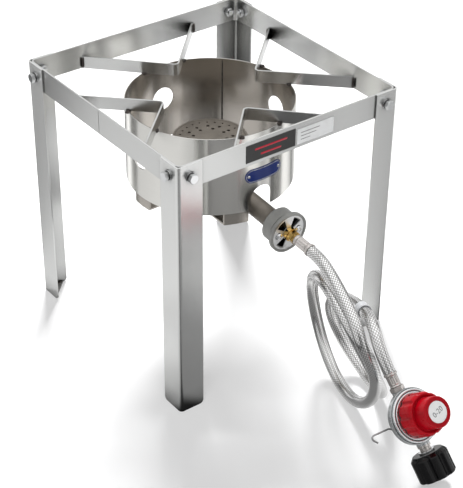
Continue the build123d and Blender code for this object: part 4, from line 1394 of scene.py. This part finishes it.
# Compass direction in degrees and grey.
STUDIO_GREYS = (
    (-180, 0.72), (-165, 0.72), (-150, 0.62), (-140, 0.45), (-135, 0.03), (-131, 0.03), (-125, 0.3),
    (-94, 0.32), (-86, 0.8), (-76, 1.0), (-66, 0.8), (-60, 0.45), (-55, 0.5), (-49, 0.74), (-44, 0.07),
    (-39, 0.08), (-34, 0.7), (-28, 1.0), (-12, 0.9), (0, 0.55), (5, 0.07), (11, 0.45), (20, 0.7),
    (76, 0.75), (88, 0.07), (93, 0.6), (99, 0.96), (110, 0.92), (118, 0.12), (125, 0.12), (131, 0.6),
    (180, 0.72),
)


def studio_greys(nodes, direction):
    """Grey by compass direction: pale walls with darker gaps between them, as metal sees them."""
    spin = nodes.step("ShaderNodeTexGradient", 0, {0: direction}, gradient_type="RADIAL")
    grey_wall = nodes.step("ShaderNodeValToRGB", 0, {0: spin})
    ramp = grey_wall.node.color_ramp
    ramp.interpolation = "EASE"
    while len(ramp.elements) < len(STUDIO_GREYS):
        ramp.elements.new(0.5)
    for stop, (compass, grey) in zip(ramp.elements, STUDIO_GREYS):
        stop.position = compass / 360 + 0.5
        stop.color = (grey, grey, grey, 1)
    return grey_wall


class STAND_OT_stage(bpy.types.Operator):
    """Camera, pale floor, backdrop and soft studio light"""

    bl_idname = "stand.stage"
    bl_label = "Stage"

    def execute(self, context):
        settings = context.scene.stand_stage
        context.scene.view_settings.view_transform = "Standard"
        self.camera(context, settings)
        self.floor()
        self.world(context, settings)
        self.lamp("key_light", KEY_PLACE, settings.key_power, KEY_SIZE)
        self.lamp("fill_light", FILL_PLACE, settings.fill_power, FILL_SIZE)
        return {"FINISHED"}

    def camera(self, context, settings):
        """The camera looks back along its own third axis."""
        turn, rise = settings.azimuth, settings.elevation
        back = Vector((sin(turn) * cos(rise), -cos(turn) * cos(rise), sin(rise)))
        right = Vector((0, 0, 1)).cross(back).normalized()
        up = back.cross(right)
        turned = cos(settings.roll) * right + sin(settings.roll) * up
        raised = cos(settings.roll) * up - sin(settings.roll) * right
        camera = linked("camera", bpy.data.cameras.new("camera"))
        matrix = Matrix((turned, raised, back)).transposed().to_4x4()
        matrix.translation = settings.camera_place
        camera.matrix_world = matrix
        camera.data.lens = settings.lens
        camera.data.clip_end = VIEW_DEPTH
        context.scene.camera = camera

    def floor(self):
        """A level square that takes shadow. The camera sees it fade to white with distance, and
        gloss sees the studio's greys in it."""
        span = np.linspace(-FLOOR_HALF, FLOOR_HALF, 3)
        x, y = np.meshgrid(span, span)
        points = np.stack([x, y, 0 * x], axis=-1).reshape(-1, 3)
        mesh = bpy.data.meshes.new("floor")
        mesh.from_pydata(points.tolist(), [], grid_faces(3, 3, False, False).tolist())
        floor = linked("floor", mesh)
        material = bpy.data.materials.new("pale_floor")
        material.use_nodes = True
        nodes = Nodes(material.node_tree)
        nodes.tree.nodes.clear()
        place = nodes.step("ShaderNodeTexCoord", "Object")
        lit = nodes.step("ShaderNodeBsdfDiffuse", 0, {"Color": FLOOR_COLOUR})
        glow = nodes.step("ShaderNodeEmission", 0, {"Color": WHITE})
        seen = nodes.either(nodes.between(nodes.vector("LENGTH", "Value", place), **FLOOR_GLOW), lit, glow)
        greys = studio_greys(nodes, place)
        mirror_lit = nodes.step("ShaderNodeBsdfDiffuse", 0, {"Color": greys})
        mirror_glow = nodes.step("ShaderNodeEmission", 0, {"Color": greys, "Strength": FLOOR_MIRROR_GLOW})
        mirror = nodes.either(FLOOR_MIRROR, mirror_lit, mirror_glow)
        by_gloss = nodes.either(nodes.ray("Glossy"), lit, mirror)
        nodes.ends("ShaderNodeOutputMaterial", nodes.either(nodes.ray("Camera"), by_gloss, seen))
        mesh.materials.append(material)

    def world(self, context, settings):
        """White to the camera, the studio's greys under a bright ceiling to gloss, and an even
        light to the rest."""
        world = bpy.data.worlds.new("studio")
        world.use_nodes = True
        context.scene.world = world
        nodes = Nodes(world.node_tree)
        nodes.tree.nodes.clear()
        way = nodes.step("ShaderNodeTexCoord", "Generated")
        height = nodes.step("ShaderNodeSeparateXYZ", "Z", {0: way})
        ceiling = nodes.between(height, 0.0, 1.0, *CEILING_RISE)
        room = nodes.mixed(ceiling, studio_greys(nodes, way), CEILING_COLOUR)
        gloss = nodes.step("ShaderNodeBackground", 0, {"Color": room})
        white = nodes.step("ShaderNodeBackground", 0, {"Color": WHITE})
        even = nodes.step("ShaderNodeBackground", 0, {"Color": WHITE, "Strength": settings.ambient})
        straight = nodes.sum("MAXIMUM", nodes.ray("Camera"), nodes.ray("Transmission"))
        by_gloss = nodes.either(nodes.ray("Glossy"), even, gloss)
        nodes.ends("ShaderNodeOutputWorld", nodes.either(straight, by_gloss, white))

    def lamp(self, name, place, power, size):
        """A square soft light aimed at the middle of the stand."""
        light = bpy.data.lights.new(name, "AREA")
        light.energy = power
        light.size = size
        lamp = linked(name, light)
        aim = Vector(LAMP_AIM) - Vector(place)
        matrix = aim.to_track_quat("-Z", "Y").to_matrix().to_4x4()
        matrix.translation = place
        lamp.matrix_world = matrix
        lamp.visible_glossy = False


class STAND_PT_panel(bpy.types.Panel):
    """Builds the stand's looks, a group at a time"""

    bl_idname = "STAND_PT_panel"
    bl_label = "Burner Stand"
    bl_space_type = "VIEW_3D"
    bl_region_type = "UI"
    bl_category = "Burner Stand"

    def draw(self, context):
        for operator in OPERATORS:
            self.layout.operator(operator.bl_idname)


GROUPS = {
    "stand_hose": HoseSizes,
    "stand_welds": WeldSizes,
    "stand_mould": MouldSizes,
    "stand_stage": StageSettings,
    "stand_colours": FinishColours,
}
OPERATORS = (
    STAND_OT_stage,
    STAND_OT_finishes,
    STAND_OT_hose,
    STAND_OT_ferrules,
    STAND_OT_screws,
    STAND_OT_cover,
    STAND_OT_knob,
    STAND_OT_handwheel,
    STAND_OT_welds,
    STAND_OT_plates,
)
CLASSES = (*GROUPS.values(), *OPERATORS, STAND_PT_panel)


def register():
    for cls in CLASSES:
        bpy.utils.register_class(cls)
    for name, group in GROUPS.items():
        setattr(bpy.types.Scene, name, PointerProperty(type=group))


def unregister():
    for name in GROUPS:
        delattr(bpy.types.Scene, name)
    for cls in reversed(CLASSES):
        bpy.utils.unregister_class(cls)


def main():
    register()
    for operator in OPERATORS:
        group, name = operator.bl_idname.split(".")
        getattr(getattr(bpy.ops, group), name)()


if __name__ == "__main__":
    main()
